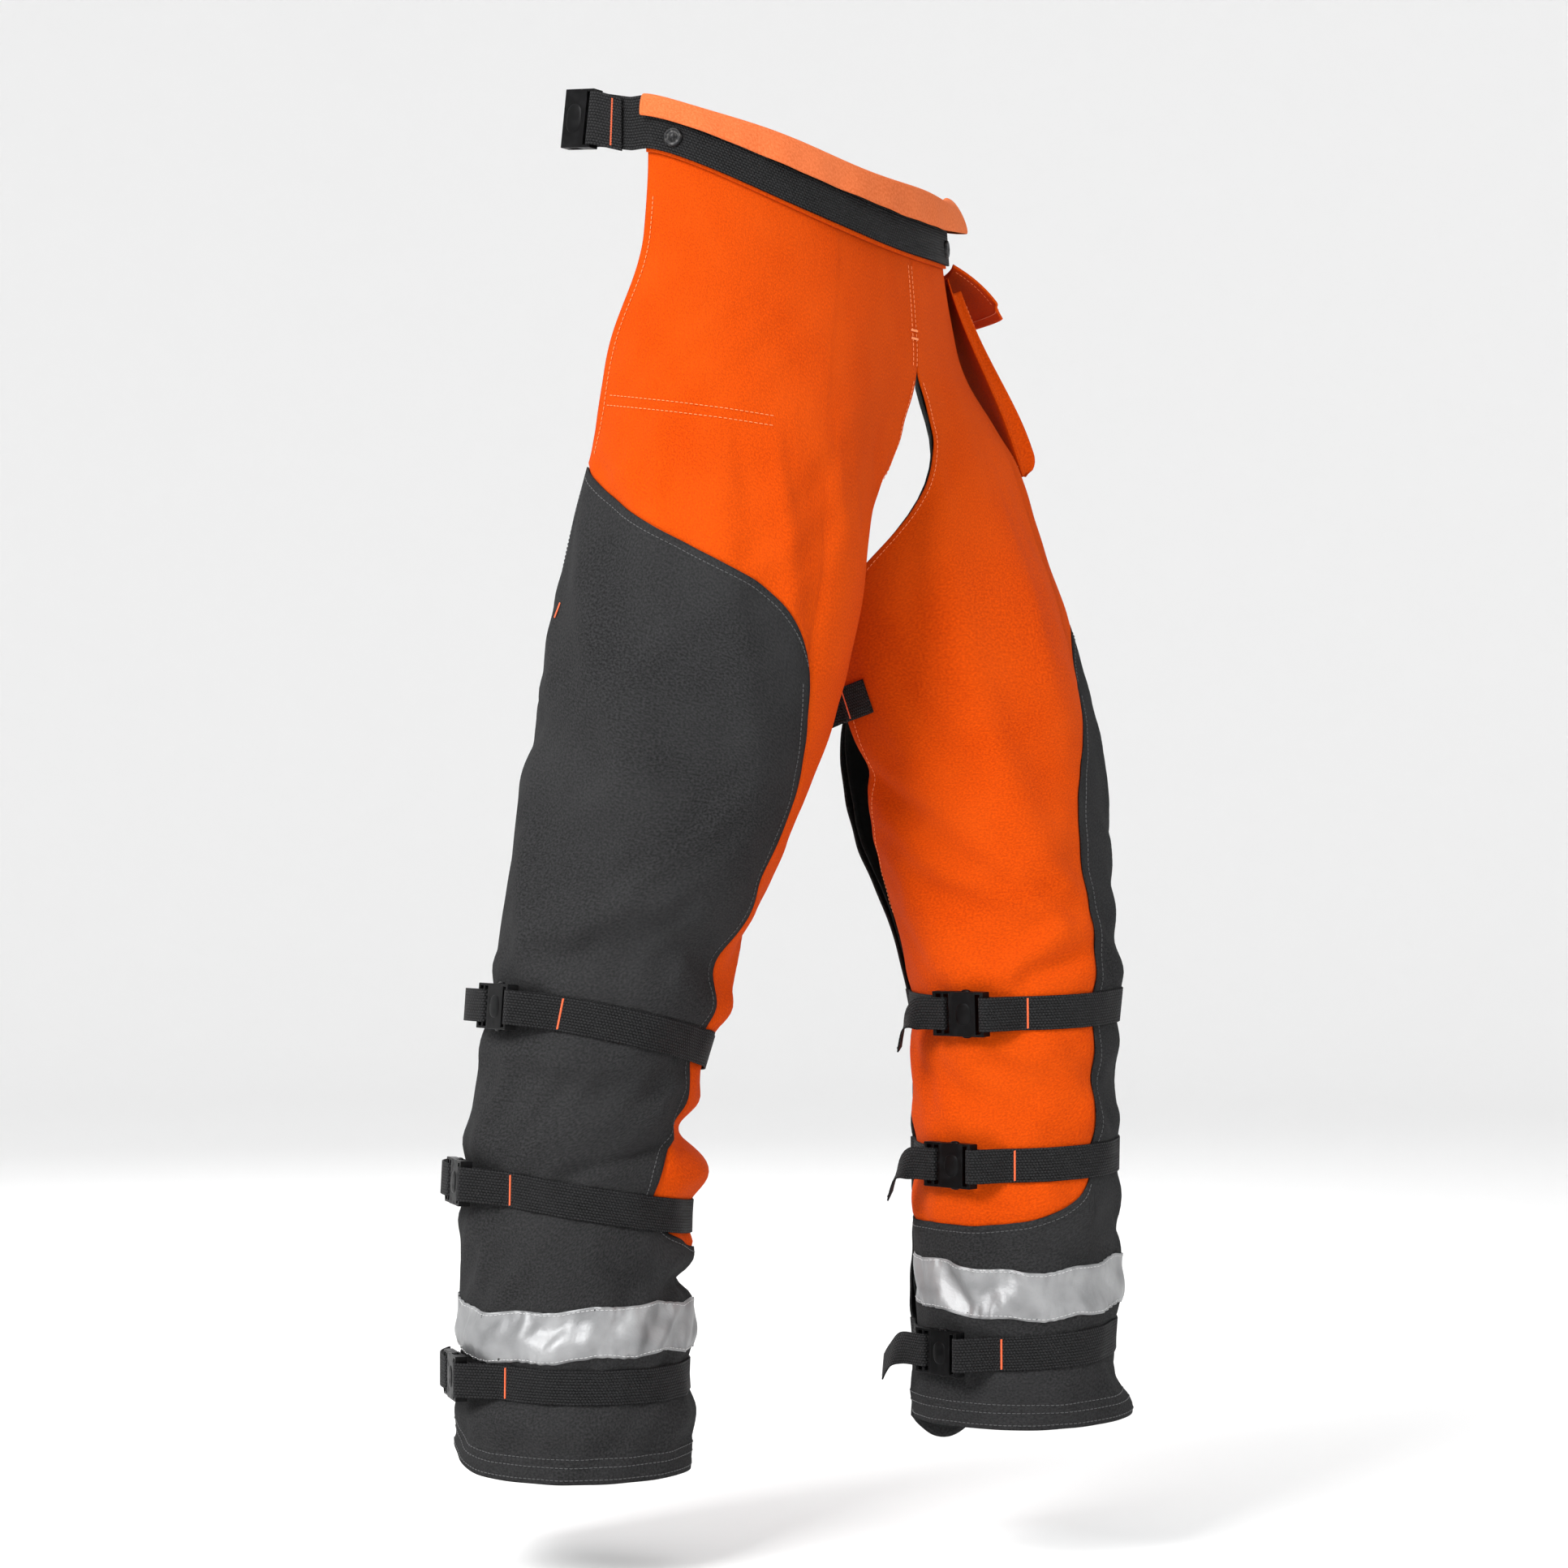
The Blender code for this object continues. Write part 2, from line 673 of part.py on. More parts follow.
def studs(look, home):
    for name, degrees in STUD_ANGLES.items():
        angle = math.radians(degrees)
        z = belt_z(angle) + 0.012
        outward = Vector((math.sin(angle) / WAIST_X, -math.cos(angle) / WAIST_Y, 0)).normalized()
        place = on_waist(angle, z, BELT_OUT + 0.0004)
        shape = bmesh.new()
        bmesh.ops.create_cone(
            shape,
            cap_ends=True,
            segments=16,
            radius1=STUD_RADIUS,
            radius2=STUD_RADIUS * 0.72,
            depth=0.0024,
            matrix=Matrix.Translation((0, 0, 0.0016)),
        )
        mesh = bpy.data.meshes.new(name)
        shape.to_mesh(mesh)
        shape.free()
        smooth(mesh)
        mesh.materials.append(look)
        obj = bpy.data.objects.new(name, mesh)
        home.objects.link(obj)
        obj.matrix_world = frame_at(place, Vector((0, 0, 1)), outward)


def pocket_frame():
    """Frame at the top of the pocket: x along it, y up the pocket, z outwards."""
    top = max(POCKET_Z)
    outward = Vector((math.sin(POCKET_ANGLE) / HIP_X, -math.cos(POCKET_ANGLE) / HIP_Y, 0))
    along = Vector((0, 0, 1)).cross(outward.normalized())
    spot = frame_at(on_waist(POCKET_ANGLE, top, 0.0052), along, outward.normalized())
    return spot @ Matrix.Rotation(-POCKET_TILT, 4, "X")


def lean_outwards(obj, tall, inset):
    """Moves the outer corners of a pocket box onto the sloping outer wall."""
    for vert in obj.data.vertices:
        if vert.co.z > POCKET_WALL * 1.5:
            vert.co.z = mix(*POCKET_DEPTHS, -vert.co.y / tall) - inset


def pocket(looks, home, helpers):
    spot = pocket_frame()
    half, tall, wall = POCKET_WIDTH / 2, POCKET_Z[0] - POCKET_Z[1], POCKET_WALL
    deep = max(POCKET_DEPTHS)
    body = boxes("pocket", [((-half, -tall, 0), (half, 0, deep))], looks["orange"], home, spot)
    lean_outwards(body, tall, 0.0)
    inside = [((wall - half, wall - tall, wall), (half - wall, 0.01, deep))]
    cutter = boxes("pocket_hollow", inside, looks["orange"], home, spot)
    lean_outwards(cutter, tall, wall)
    combine(body, cutter, "DIFFERENCE", helpers)

    hinge = spot @ Matrix.Translation((0, *FLAP_HINGE))
    swung = hinge @ Matrix.Rotation(math.pi / 2 - FLAP_OPEN, 4, "X")
    size = [((-half - 0.002, -0.0012, 0), (half + 0.002, 0.0012, FLAP_LENGTH))]
    boxes("pocket_flap", size, looks["orange"], home, swung)


def main():
    clear_scene()
    home = new_collection("chainsaw_chaps")
    helpers = new_collection("cutters", helpers=True)
    looks = {
        "orange": material("orange_cloth", ORANGE, 0.85),
        "fold": material("fold_cloth", FOLD_ORANGE, 0.85),
        "grey": material("grey_cloth", GREY, 0.9),
        "webbing": material("black_webbing", BLACK, 0.75),
        "plastic": material("black_plastic", PLASTIC, 0.35),
        "silver": material("silver_band", SILVER, 0.3, 0.6),
        "lining": material("lining_cloth", LINING_COLOUR, 0.9),
        "pad": material("pad_fibre", PAD_COLOUR, 0.95),
        "metal": material("stud_metal", METAL, 0.35, 0.9),
    }
    flat = (0.0, 0.0)
    waist_strip("waistband", flat, BAND_TOP, 0.0029, looks["orange"], home)
    waist_strip("top_fold", FOLD_LOW, BAND_TOP, BELT_OUT + 0.0029, looks["fold"], home)
    waist_belt(looks, home, helpers)
    studs(looks["metal"], home)
    pocket(looks, home, helpers)
    for leg in SIDES:
        hip_panel(leg, looks["orange"], home)
        hip_fold(leg, looks["orange"], home)
        front_panel(leg, looks["orange"], home)
        outer_panel(leg, looks["grey"], home)
        pad(leg, looks["pad"], home)
        lining(leg, looks["lining"], home)
        band(leg, looks["silver"], home)
        round_calf = ((STRAP_END + 0.27, math.tau - STRAP_END - 0.02),)
        for number, buckle in enumerate(CALF_STRAPS[leg], 1):
            name = f"{leg}_calf_{number}"
            strap(name, leg, buckle, round_calf, looks, home, helpers)
        across = ((0.42, THIGH_REACH), (math.tau - THIGH_REACH, math.tau - 0.24))
        strap(f"{leg}_thigh", leg, THIGH_STRAPS[leg], across, looks, home, helpers)


main()
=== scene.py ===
"""Looks of the chainsaw chaps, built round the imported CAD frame.

Metres, +Z up. The wearer faces -Y. In each section "front" means towards -Y, and an angle is
counted from the front. A leg's own angle runs from its inner side, round the front, outwards.
Every cloth layer of a leg is sampled from one grid, so that layers, seams and bands agree.
"""

import math

import bmesh
import bpy
import numpy as np
from mathutils import Matrix, Vector
from mathutils.bvhtree import BVHTree


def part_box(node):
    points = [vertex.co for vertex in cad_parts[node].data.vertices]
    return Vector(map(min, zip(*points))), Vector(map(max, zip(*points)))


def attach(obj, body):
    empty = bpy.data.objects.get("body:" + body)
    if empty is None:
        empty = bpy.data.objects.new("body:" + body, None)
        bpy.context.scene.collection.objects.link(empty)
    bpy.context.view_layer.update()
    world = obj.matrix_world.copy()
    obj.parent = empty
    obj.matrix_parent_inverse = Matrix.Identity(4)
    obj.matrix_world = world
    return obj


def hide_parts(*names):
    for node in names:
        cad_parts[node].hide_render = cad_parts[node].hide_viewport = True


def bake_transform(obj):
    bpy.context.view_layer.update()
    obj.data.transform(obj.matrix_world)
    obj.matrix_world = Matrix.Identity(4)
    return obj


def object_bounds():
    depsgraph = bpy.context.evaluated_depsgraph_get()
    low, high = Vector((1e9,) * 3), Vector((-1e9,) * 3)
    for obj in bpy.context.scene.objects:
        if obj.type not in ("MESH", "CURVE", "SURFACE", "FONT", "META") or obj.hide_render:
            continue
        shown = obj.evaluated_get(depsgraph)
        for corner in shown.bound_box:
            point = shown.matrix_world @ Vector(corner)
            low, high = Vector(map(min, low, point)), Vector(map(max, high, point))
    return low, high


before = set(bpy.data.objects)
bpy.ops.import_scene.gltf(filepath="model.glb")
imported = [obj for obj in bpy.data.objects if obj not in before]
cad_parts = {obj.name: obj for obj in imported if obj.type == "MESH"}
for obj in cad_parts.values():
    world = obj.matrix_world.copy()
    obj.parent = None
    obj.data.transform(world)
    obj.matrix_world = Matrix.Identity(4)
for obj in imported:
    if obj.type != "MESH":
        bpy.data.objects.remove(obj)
CAD_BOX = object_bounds()
SIDES = {"right": -1, "left": 1}

# ---- the cloth's dimensions ----
# Most are the CAD's own, which the frame's boxes can't tell. The seams, the cuffs and some open
# edges are moved a little for looks. Pairs of heights or angles are where a change starts and ends.

HEM_Z = {leg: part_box(f"{leg}_outer_panel")[0].z for leg in SIDES}
CUFF_Z = {"right": -0.798, "left": -0.775}
SLIM_END_Z = -0.665
CREASE_Z = -0.138
CORNER_Z = -0.343
GREY_TOP_Z = -0.222
BLEND_TOP_Z, BLEND_END_Z = -0.080, -0.320
WAIST_RADII = (0.165, 0.120)
HIP_RADII = (0.180, 0.129)
WAIST_END = math.radians(96)
CLOTH_END = {"right": math.radians(90.5), "left": math.radians(96)}
HIP_END = {"right": math.radians(101), "left": math.radians(64)}
HIP_BELT_Z = {"right": 0.001, "left": -0.016}
FRONT_BELT_Z = -0.060
BELT_CURVE, BELT_END_RUN = 1.3, (0.16, 0.12)
BELT_WIDTH, BELT_OUT, BELT_REACH = 0.038, 0.0056, 0.022
BAND_TOP = (0.036, 0.048)
FOLD_LOW = (0.024, 0.027)
LEG_X = 0.100
THIGH_RADII = {"right": (0.094, 0.116), "left": (0.092, 0.108)}
CALF_RADII = {"right": (0.081, 0.086), "left": (0.073, 0.077)}
HIP_FRONT = {"right": 0.022, "left": 0.038}
FOOT_FRONT = {"right": -0.105, "left": 0.161}
LEAN_TOP_Z = {"right": -0.200, "left": -0.080}
LEAN_END_Z = {"right": -0.780, "left": -0.630}
FORK_ANGLE, FORK_DROP = {"right": math.radians(3), "left": math.radians(9)}, 0.060
CENTRE_SEAM_SHARE = 0.25
HIP_NARROWS_Z = (-0.060, CREASE_Z - 0.020)
INNER_EDGE = (math.radians(-36), math.radians(-122))
OUTER_EDGE = {"right": math.radians(132), "left": math.radians(83)}
REAR_EDGE = {"right": math.radians(174), "left": math.radians(192)}
INNER_OPENS_Z = (-0.160, -0.370)
OUTER_OPENS_Z = {"right": (-0.160, -0.370), "left": (-0.240, -0.450)}
WRAP_Z = (-0.420, -0.610)
FLAP_UNDER = math.radians(-183)
FLAP_OVER = {"right": math.radians(206), "left": math.radians(192)}
LAP_HEIGHT, LAP_ANGLES = 0.0045, (math.radians(146), math.radians(176))
SEAM_ANGLE = {"right": math.radians(-4), "left": math.radians(-17)}
CORNER_ANGLE = math.radians(17)
SEAM_END_Z = -0.485
SEAM_DRIFT, DRIFT_Z = {"right": math.radians(22), "left": 0.0}, (-0.680, -0.735)
SPLIT = 8 / 19  # the seam's column, as a share of the CAD grid's 19
BAND_HEIGHT = 0.036
STRAP_WIDTH, BUCKLE_LIFT = 0.025, 0.0078
CALF_STRAPS = {
    "right": ((-118, -0.611, -0.650), (-132, -0.741, -0.770), (-134, -0.884, -0.887)),
    "left": ((-97, -0.618, -0.611), (-104, -0.730, -0.724), (-111, -0.869, -0.859)),
}
THIGH_STRAPS = {"right": (150, -0.372, -0.300), "left": (-148, -0.392, -0.322)}
# Runs of webbing, as turns from the buckle: once round a calf, and the thigh strap's two ends.
CALF_RUNS = ((math.radians(17) + 0.27, math.tau - math.radians(17) - 0.02),)
THIGH_RUNS = ((0.42, math.radians(44)), (math.tau - math.radians(44), math.tau - 0.24))
BUCKLE_WIDTH, BUCKLE_DEPTH = 0.033, 0.0090
SOCKET_LENGTH, PLUG_LENGTH, BAR = 0.028, 0.017, 0.0030
WAIST_BUCKLE_SCALE = 1.27
TAIL_REACH, TAIL_STEPS = 0.045 * 0.92, 14
TAIL_DROP, TAIL_TWIST, TAIL_CURL = math.radians(80), math.radians(62), math.radians(38)
TAIL_HANG = {"left_calf_1": 1.0, "left_calf_2": 0.9, "left_calf_3": 0.55}
STUD_ANGLES = {"right_stud": -80, "front_stud": 24, "left_stud": 80}
POCKET_ANGLE, POCKET_TILT = math.radians(60), math.radians(19)
POCKET_Z = (-0.066, -0.216)
POCKET_WIDTH, POCKET_DEPTHS = 0.120, (0.012, 0.014)
FLAP_LENGTH, FLAP_OPEN, FLAP_HINGE = 0.052, math.radians(38), (0.015, 0.005)

# How finely the cloth is made.
CUFF_ROWS, SHIN_ROWS, THIGH_ROWS, COLUMNS = 44, 106, 92, 152

random = np.random.default_rng(7)


def mix(a, b, t):
    return a + (b - a) * t


def ease(start, end, value):
    """0 at start, 1 at end, smooth between them."""
    t = np.clip((value - start) / (end - start), 0.0, 1.0)
    return t * t * (3 - 2 * t)


def bell(distance, width):
    return np.exp(-((distance / width) ** 2))


def new_object(name, data, look=None):
    """Puts a mesh, light or camera in the scene."""
    if look:
        data.materials.append(look)
    obj = bpy.data.objects.new(name, data)
    bpy.context.scene.collection.objects.link(obj)
    return obj


def smooth_object(name, shape, look):
    """Smooth mesh object from a finished bmesh."""
    mesh = bpy.data.meshes.new(name)
    shape.to_mesh(mesh)
    shape.free()
    mesh.shade_smooth()
    return new_object(name, mesh, look)


def spun(profile, steps, near):
    """Turned shape: a profile of (radius, height) spun round z."""
    shape = bmesh.new()
    points = [shape.verts.new((r, 0, z)) for r, z in profile]
    lines = [shape.edges.new(pair) for pair in zip(points, points[1:])]
    centre, axis = (0, 0, 0), (0, 0, 1)
    bmesh.ops.spin(shape, geom=points + lines, cent=centre, axis=axis, angle=math.tau, steps=steps)
    bmesh.ops.remove_doubles(shape, verts=shape.verts, dist=near)
    bmesh.ops.recalc_face_normals(shape, faces=shape.faces)
    return shape


def install(obj, slot, body=None, *replaced):
    """Gives a piece the body it rides on and hides the CAD nodes it stands for. The slot is not used.
    """
    if replaced:
        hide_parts(*replaced)
    if body:
        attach(obj, body)
    return obj


# ---- the camera, lights and stage ----

VIEW_AZIMUTH = math.radians(-60)
CAMERA_DISTANCE, CAMERA_Z = 2.5, -0.51
LENS, SENSOR = 76.0, 36.0
SHIFT = (0.012, 0.053)
TO_CAMERA = Vector((math.sin(VIEW_AZIMUTH), -math.cos(VIEW_AZIMUTH), 0))
CAMERA_LEFT = Vector((-math.cos(VIEW_AZIMUTH), -math.sin(VIEW_AZIMUTH), 0))
FLOOR_DROP, FLOOR_SHAPE = 0.075, (5.0, 2.0, 7.0)
WORLD_LIGHT = 0.84
# Area lights: share towards the camera and to its left, height, size and watts.
LIGHTS = {
    "key": (1.9, 1.5, 1.7, 1.2, 84),
    "fill": (1.6, -2.0, 0.7, 1.8, 8),
    "back": (-2.2, 0.6, 1.6, 2.0, 24),
}


def camera():
    data = bpy.data.cameras.new("camera")
    data.lens, data.sensor_width = LENS, SENSOR
    data.shift_x, data.shift_y = SHIFT
    obj = new_object("camera", data)
    obj.location = TO_CAMERA * CAMERA_DISTANCE + Vector((0, 0, CAMERA_Z))
    obj.rotation_euler = (math.pi / 2, 0, VIEW_AZIMUTH)
    bpy.context.scene.camera = obj


def softbox(name, place, size, watts):
    """Area light that faces the middle of the object."""
    data = bpy.data.lights.new(name, "AREA")
    data.size, data.energy = size, watts
    obj = new_object(name, data)
    obj.location = Vector((0, 0, CAMERA_Z)) + place
    obj.rotation_euler = (-place).to_track_quat("-Z", "Y").to_euler()


def stage():
    """Round floor that curves up into a wall on all sides, in pale paper."""
    floor_z = CAD_BOX[0].z - FLOOR_DROP
    reach, bend, top = FLOOR_SHAPE
    profile = [(0.0, floor_z + 0.0), (reach, floor_z + 0.0)]
    for turn in np.linspace(0.1, math.pi / 2, 12):
        profile.append((reach + bend * math.sin(turn), floor_z + (bend - bend * math.cos(turn))))
    profile += [(reach + bend, floor_z + top)]
    shape = spun(profile, 64, 1e-4)
    bmesh.ops.reverse_faces(shape, faces=shape.faces)
    paper = Look("paper", 0.9)
    paper.shader.inputs["Base Color"].default_value = (0.96, 0.96, 0.96, 1)
    obj = smooth_object("paper_sweep", shape, paper.material)
    world = bpy.data.worlds.new("studio")
    bpy.context.scene.world = world
    world.use_nodes = True
    background = world.node_tree.nodes["Background"]
    background.inputs["Color"].default_value = (1, 1, 1, 1)
    background.inputs["Strength"].default_value = WORLD_LIGHT
    bpy.context.scene.view_settings.view_transform = "Standard"


# ---- materials ----

SOCKETS = {
    "sheen": "Sheen Weight",
    "sheen_roughness": "Sheen Roughness",
    "specular": "Specular IOR Level",
}


MOTTLE = 0.62
CORD_PITCH, PICK_PITCH = 0.0021, 0.0024


class Look:
    """A Principled material and the nodes that feed it."""

    def __init__(self, name, roughness, metallic=0.0, **constants):
        self.material = bpy.data.materials.new(name)
        self.material.use_nodes = True
        self.tree = self.material.node_tree
        self.shader = self.tree.nodes["Principled BSDF"]
        self.shader.inputs["Roughness"].default_value = roughness
        self.shader.inputs["Metallic"].default_value = metallic
        for socket, value in constants.items():
            self.shader.inputs[SOCKETS[socket]].default_value = value
        self.flat = None

    def node(self, kind, settings=(), **inputs):
        """New node. An input is a number, a colour or another node's output socket."""
        made = self.tree.nodes.new(kind)
        for key, value in dict(settings).items():
            setattr(made, key, value)
        for key, value in inputs.items():
            spot = made.inputs[int(key[1:]) if key[1:].isdigit() else key]
            if isinstance(value, bpy.types.NodeSocket):
                self.tree.links.new(value, spot)
            else:
                spot.default_value = value
        return made

    def math(self, operation, a, b=0.0):
        return self.node("ShaderNodeMath", {"operation": operation}, i0=a, i1=b).outputs[0]

    def place(self):
        """UV in metres, and its two parts."""
        if self.flat is None:
            uv = self.node("ShaderNodeTexCoord").outputs["UV"]
            parts = self.node("ShaderNodeSeparateXYZ", i0=uv)
            self.flat = uv, parts.outputs[0], parts.outputs[1]
        return self.flat

    def solid(self):
        return self.node("ShaderNodeTexCoord").outputs["Object"]

    def noise(self, scale, detail=2.0, where=None):
        spot = self.place()[0] if where is None else where
        made = self.node("ShaderNodeTexNoise", i0=spot, Scale=scale, Detail=detail)
        return made.outputs["Fac"]

    def blend(self, share, first, second):
        made = self.node("ShaderNodeMix", {"data_type": "RGBA"}, i0=share)
        for index, value in ((6, first), (7, second)):
            if isinstance(value, bpy.types.NodeSocket):
                self.tree.links.new(value, made.inputs[index])
            else:
                made.inputs[index].default_value = (*value, 1)
        return made.outputs[2]

    def spread(self, value, low, high):
        """Stretches the part of a 0 to 1 value between low and high to the whole range."""
        ends = {"i1": low, "i2": high, "i3": 0.0, "i4": 1.0}
        return self.node("ShaderNodeMapRange", {"clamp": True}, i0=value, **ends).outputs[0]

    def share(self, value, low, high):
        """Turns a 0 to 1 value into one between low and high."""
        return self.node("ShaderNodeMapRange", i0=value, i3=low, i4=high).outputs[0]

    def times_plus(self, a, b, c):
        made = self.math("MULTIPLY_ADD", a, b)
        if isinstance(c, bpy.types.NodeSocket):
            self.tree.links.new(c, made.node.inputs[2])
        else:
            made.node.inputs[2].default_value = c
        return made

    def relief(self, height, distance, strength=1.0, below=None):
        made = self.node("ShaderNodeBump", Height=height, Distance=distance, Strength=strength)
        if below is not None:
            self.tree.links.new(below, made.inputs["Normal"])
        return made.outputs["Normal"]

    def finish(self, colour, normal, roughness=None):
        self.tree.links.new(colour, self.shader.inputs["Base Color"])
        self.tree.links.new(normal, self.shader.inputs["Normal"])
        if roughness is not None:
            self.tree.links.new(roughness, self.shader.inputs["Roughness"])
        return self.material


def woven(name, dark, light, faded, pitch=0.0009, roughness=0.90):
    """Plain weave: threads over and under each other, with painted shade where they dip under,
    mottled dye, wear in soft patches.
    """
    look = Look(name, roughness, sheen=0.01, sheen_roughness=0.55, specular=0.05)
    _, u, v = look.place()
    warp, weft = (look.math("SINE", look.math("MULTIPLY", k, math.tau / pitch)) for k in (u, v))
    over = look.times_plus(look.math("MULTIPLY", warp, weft), 0.5, 0.5)
    slub = look.noise(900.0, 1.0)
    grain = look.spread(look.noise(620.0, 3.0), 0.36, 0.66)
    patches = look.spread(look.noise(11.0, 4.0), 0.30, 0.74)
    # Mottled dye, plus painted shade: the threads are darker where they dip under their neighbours.
    mottle_and_thread_shade = look.times_plus(grain, MOTTLE, look.math("MULTIPLY", over, 1.0 - MOTTLE))
    colour = look.blend(mottle_and_thread_shade, dark, light)
    colour = look.blend(look.math("MULTIPLY", patches, 0.38), colour, faded)
    normal = look.relief(look.math("ADD", over, slub), 0.00030, 0.75)
    normal = look.relief(look.noise(150.0, 4.0), 0.0010, 0.60, normal)
    return look.finish(colour, normal, look.share(grain, roughness - 0.06, roughness + 0.05))


def webbing_look(name, dark, light):
    """Ribbed webbing: cords along its length, each bound by slanting picks, with painted shade in the
    grooves between them.
    """
    look = Look(name, 0.66, sheen=0.01, specular=0.10)
    _, u, v = look.place()
    cords = look.math("SINE", look.math("MULTIPLY", v, math.pi / CORD_PITCH))
    cords = look.math("ABSOLUTE", cords)
    row = look.math("FLOOR", look.math("DIVIDE", v, CORD_PITCH))
    run = look.math("MULTIPLY", u, math.tau / PICK_PITCH)
    slant = look.times_plus(look.math("PINGPONG", row, 1.0), math.pi, run)
    picks = look.times_plus(look.math("SINE", slant), 0.5, 0.5)
    height = look.math("ADD", look.math("MULTIPLY", cords, 0.8), look.math("MULTIPLY", picks, 0.7))
    fuzz = look.noise(700.0, 2.0)
    # Painted shade: the webbing is darker in the grooves between cords and picks, with random fuzz on
    # top.
    mottle_and_thread_shade = look.spread(look.math("ADD", height, fuzz), 0.75, 1.75)
    worn = look.math("MULTIPLY", look.spread(look.noise(30.0), 0.4, 0.7), 0.3)
    colour = look.blend(worn, look.blend(mottle_and_thread_shade, dark, light), light)
    normal = look.relief(height, 0.0008, 1.0)
    return look.finish(colour, look.relief(fuzz, 0.0003, 0.6, normal))


def tape_look(name):
    """Retroreflective tape: glass-bead silver, crumpled, with painted light on the crumples' crests
    and painted shade in their hollows.
    """
    look = Look(name, 0.46, 0.45, specular=0.3)
    crumple = look.noise(26.0, 2.5)
    fine = look.noise(420.0, 3.0)
    beads = look.noise(2400.0, 1.0)
    # Painted light and shade: the tape is lighter where the crumples rise and darker in their
    # hollows.
    crumple_shading = look.spread(crumple, 0.30, 0.62)
    colour = look.blend(crumple_shading, (0.19, 0.193, 0.197), (0.36, 0.363, 0.368))
    specks = look.math("MULTIPLY", look.spread(fine, 0.5, 0.7), 0.25)
    colour = look.blend(specks, colour, (0.30, 0.30, 0.30))
    normal = look.relief(crumple, 0.0050, 0.60)
    normal = look.relief(beads, 0.0001, 0.4, look.relief(fine, 0.0005, 0.45, normal))
    return look.finish(colour, normal, look.share(crumple, 0.38, 0.58))


def plastic_look(name, dark, light):
    """Moulded acetal with a fine spark-eroded grain, scuffed lighter here and there."""
    look = Look(name, 0.42, specular=0.12)
    where = look.solid()
    grain = look.noise(2600.0, 2.0, where)
    scuff = look.spread(look.noise(160.0, 5.0, where), 0.52, 0.72)
    colour = look.blend(look.math("MULTIPLY", scuff, 0.5), dark, light)
    return look.finish(colour, look.relief(grain, 0.00008, 0.6), look.share(scuff, 0.37, 0.62))


def metal_look(name):
    look = Look(name, 0.46, 0.70)
    where = look.solid()
    worn = look.spread(look.noise(500.0, 4.0, where), 0.48, 0.70)
    colour = look.blend(worn, (0.012, 0.012, 0.013), (0.060, 0.058, 0.056))
    return look.finish(colour, look.relief(look.noise(1500.0, 2.0, where), 0.00008, 0.5))


def thread_look(name, colour, shine):
    look = Look(name, 0.55, sheen=0.2)
    where = look.solid()
    twist = look.noise(1800.0, 2.0, where)
    return look.finish(look.blend(twist, colour, shine), look.relief(twist, 0.0001, 0.6))


def fibre_look(name):
    """Loose protective fibre: long pale filaments."""
    look = Look(name, 0.95, sheen=0.4)
    _, u, v = look.place()
    stretched = look.node("ShaderNodeCombineXYZ", i0=look.math("MULTIPLY", u, 9.0), i1=v)
    strands = look.noise(260.0, 4.0, stretched.outputs[0])
    colour = look.blend(strands, (0.60, 0.57, 0.48), (0.86, 0.84, 0.78))
    return look.finish(colour, look.relief(strands, 0.0008, 0.8))


LOOKS = {}


# Materials that share a recipe: the recipe, the slot's name, then its colours from dark to light.
RECIPES = {
    "orange": (woven, "orange_cloth", (0.44, 0.032, 0.0004), (0.75, 0.084, 0.0014),
               (0.77, 0.104, 0.0055)),
    # The fold's cloth is the orange one made lighter: painted light where the fold's top catches the
    # lamps.
    "fold": (woven, "fold_cloth", (0.60, 0.105, 0.022), (0.80, 0.205, 0.070), (0.80, 0.23, 0.090)),
    "grey": (woven, "grey_cloth", (0.0060, 0.0060, 0.0064), (0.043, 0.043, 0.044),
             (0.045, 0.045, 0.046)),
    "lining": (woven, "lining_cloth", (0.008, 0.009, 0.009), (0.026, 0.029, 0.029),
               (0.034, 0.038, 0.038), 0.0006, 0.7),
    "webbing": (webbing_look, "black_webbing", (0.0012, 0.0012, 0.0013), (0.024, 0.024, 0.025)),
    "silver": (tape_look, "silver_band"),
    "plastic": (plastic_look, "buckle_plastic", (0.0016, 0.0016, 0.0018), (0.010, 0.010, 0.011)),
    "metal": (metal_look, "stud_metal"),
    "pad": (fibre_look, "pad_fibre"),
    "orange_thread": (thread_look, "orange_thread", (0.98, 0.20, 0.03), (1.0, 0.36, 0.12)),
    "red_thread": (thread_look, "tack_thread", (0.85, 0.07, 0.01), (1.0, 0.20, 0.05)),
    "grey_thread": (thread_look, "grey_thread", (0.040, 0.040, 0.042), (0.085, 0.085, 0.088)),
    "silver_thread": (thread_look, "silver_thread", (0.45, 0.45, 0.46), (0.70, 0.70, 0.70)),
}


def make_looks():
    for key, (recipe, *values) in RECIPES.items():
        LOOKS[key] = recipe(*values)


# ---- the surface that the wearer fills ----


def point(x, y, z):
    return np.stack(np.broadcast_arrays(x, y, z), axis=-1)


def leg_centre(leg, z):
    lean = ease(LEAN_TOP_Z[leg], LEAN_END_Z[leg], z)
    return SIDES[leg] * LEG_X, mix(HIP_FRONT[leg], FOOT_FRONT[leg], lean)


def on_leg(leg, angle, z, out=0.0):
    """Point of the leg's tube at a world angle, 'out' metres outside the shell."""
    x, front = leg_centre(leg, z)
    slim = ease(CORNER_Z, SLIM_END_Z, z)
    radius_x, radius_y = (mix(THIGH_RADII[leg][k], CALF_RADII[leg][k], slim) + out for k in (0, 1))
    return point(x + radius_x * np.sin(angle), -front - radius_y * np.cos(angle), z)


def on_waist(angle, z, out=0.0):
    wide = ease(0.0, CREASE_Z, z)
    radius_x, radius_y = (mix(WAIST_RADII[k], HIP_RADII[k], wide) + out for k in (0, 1))
    return point(radius_x * np.sin(angle), -radius_y * np.cos(angle), z)


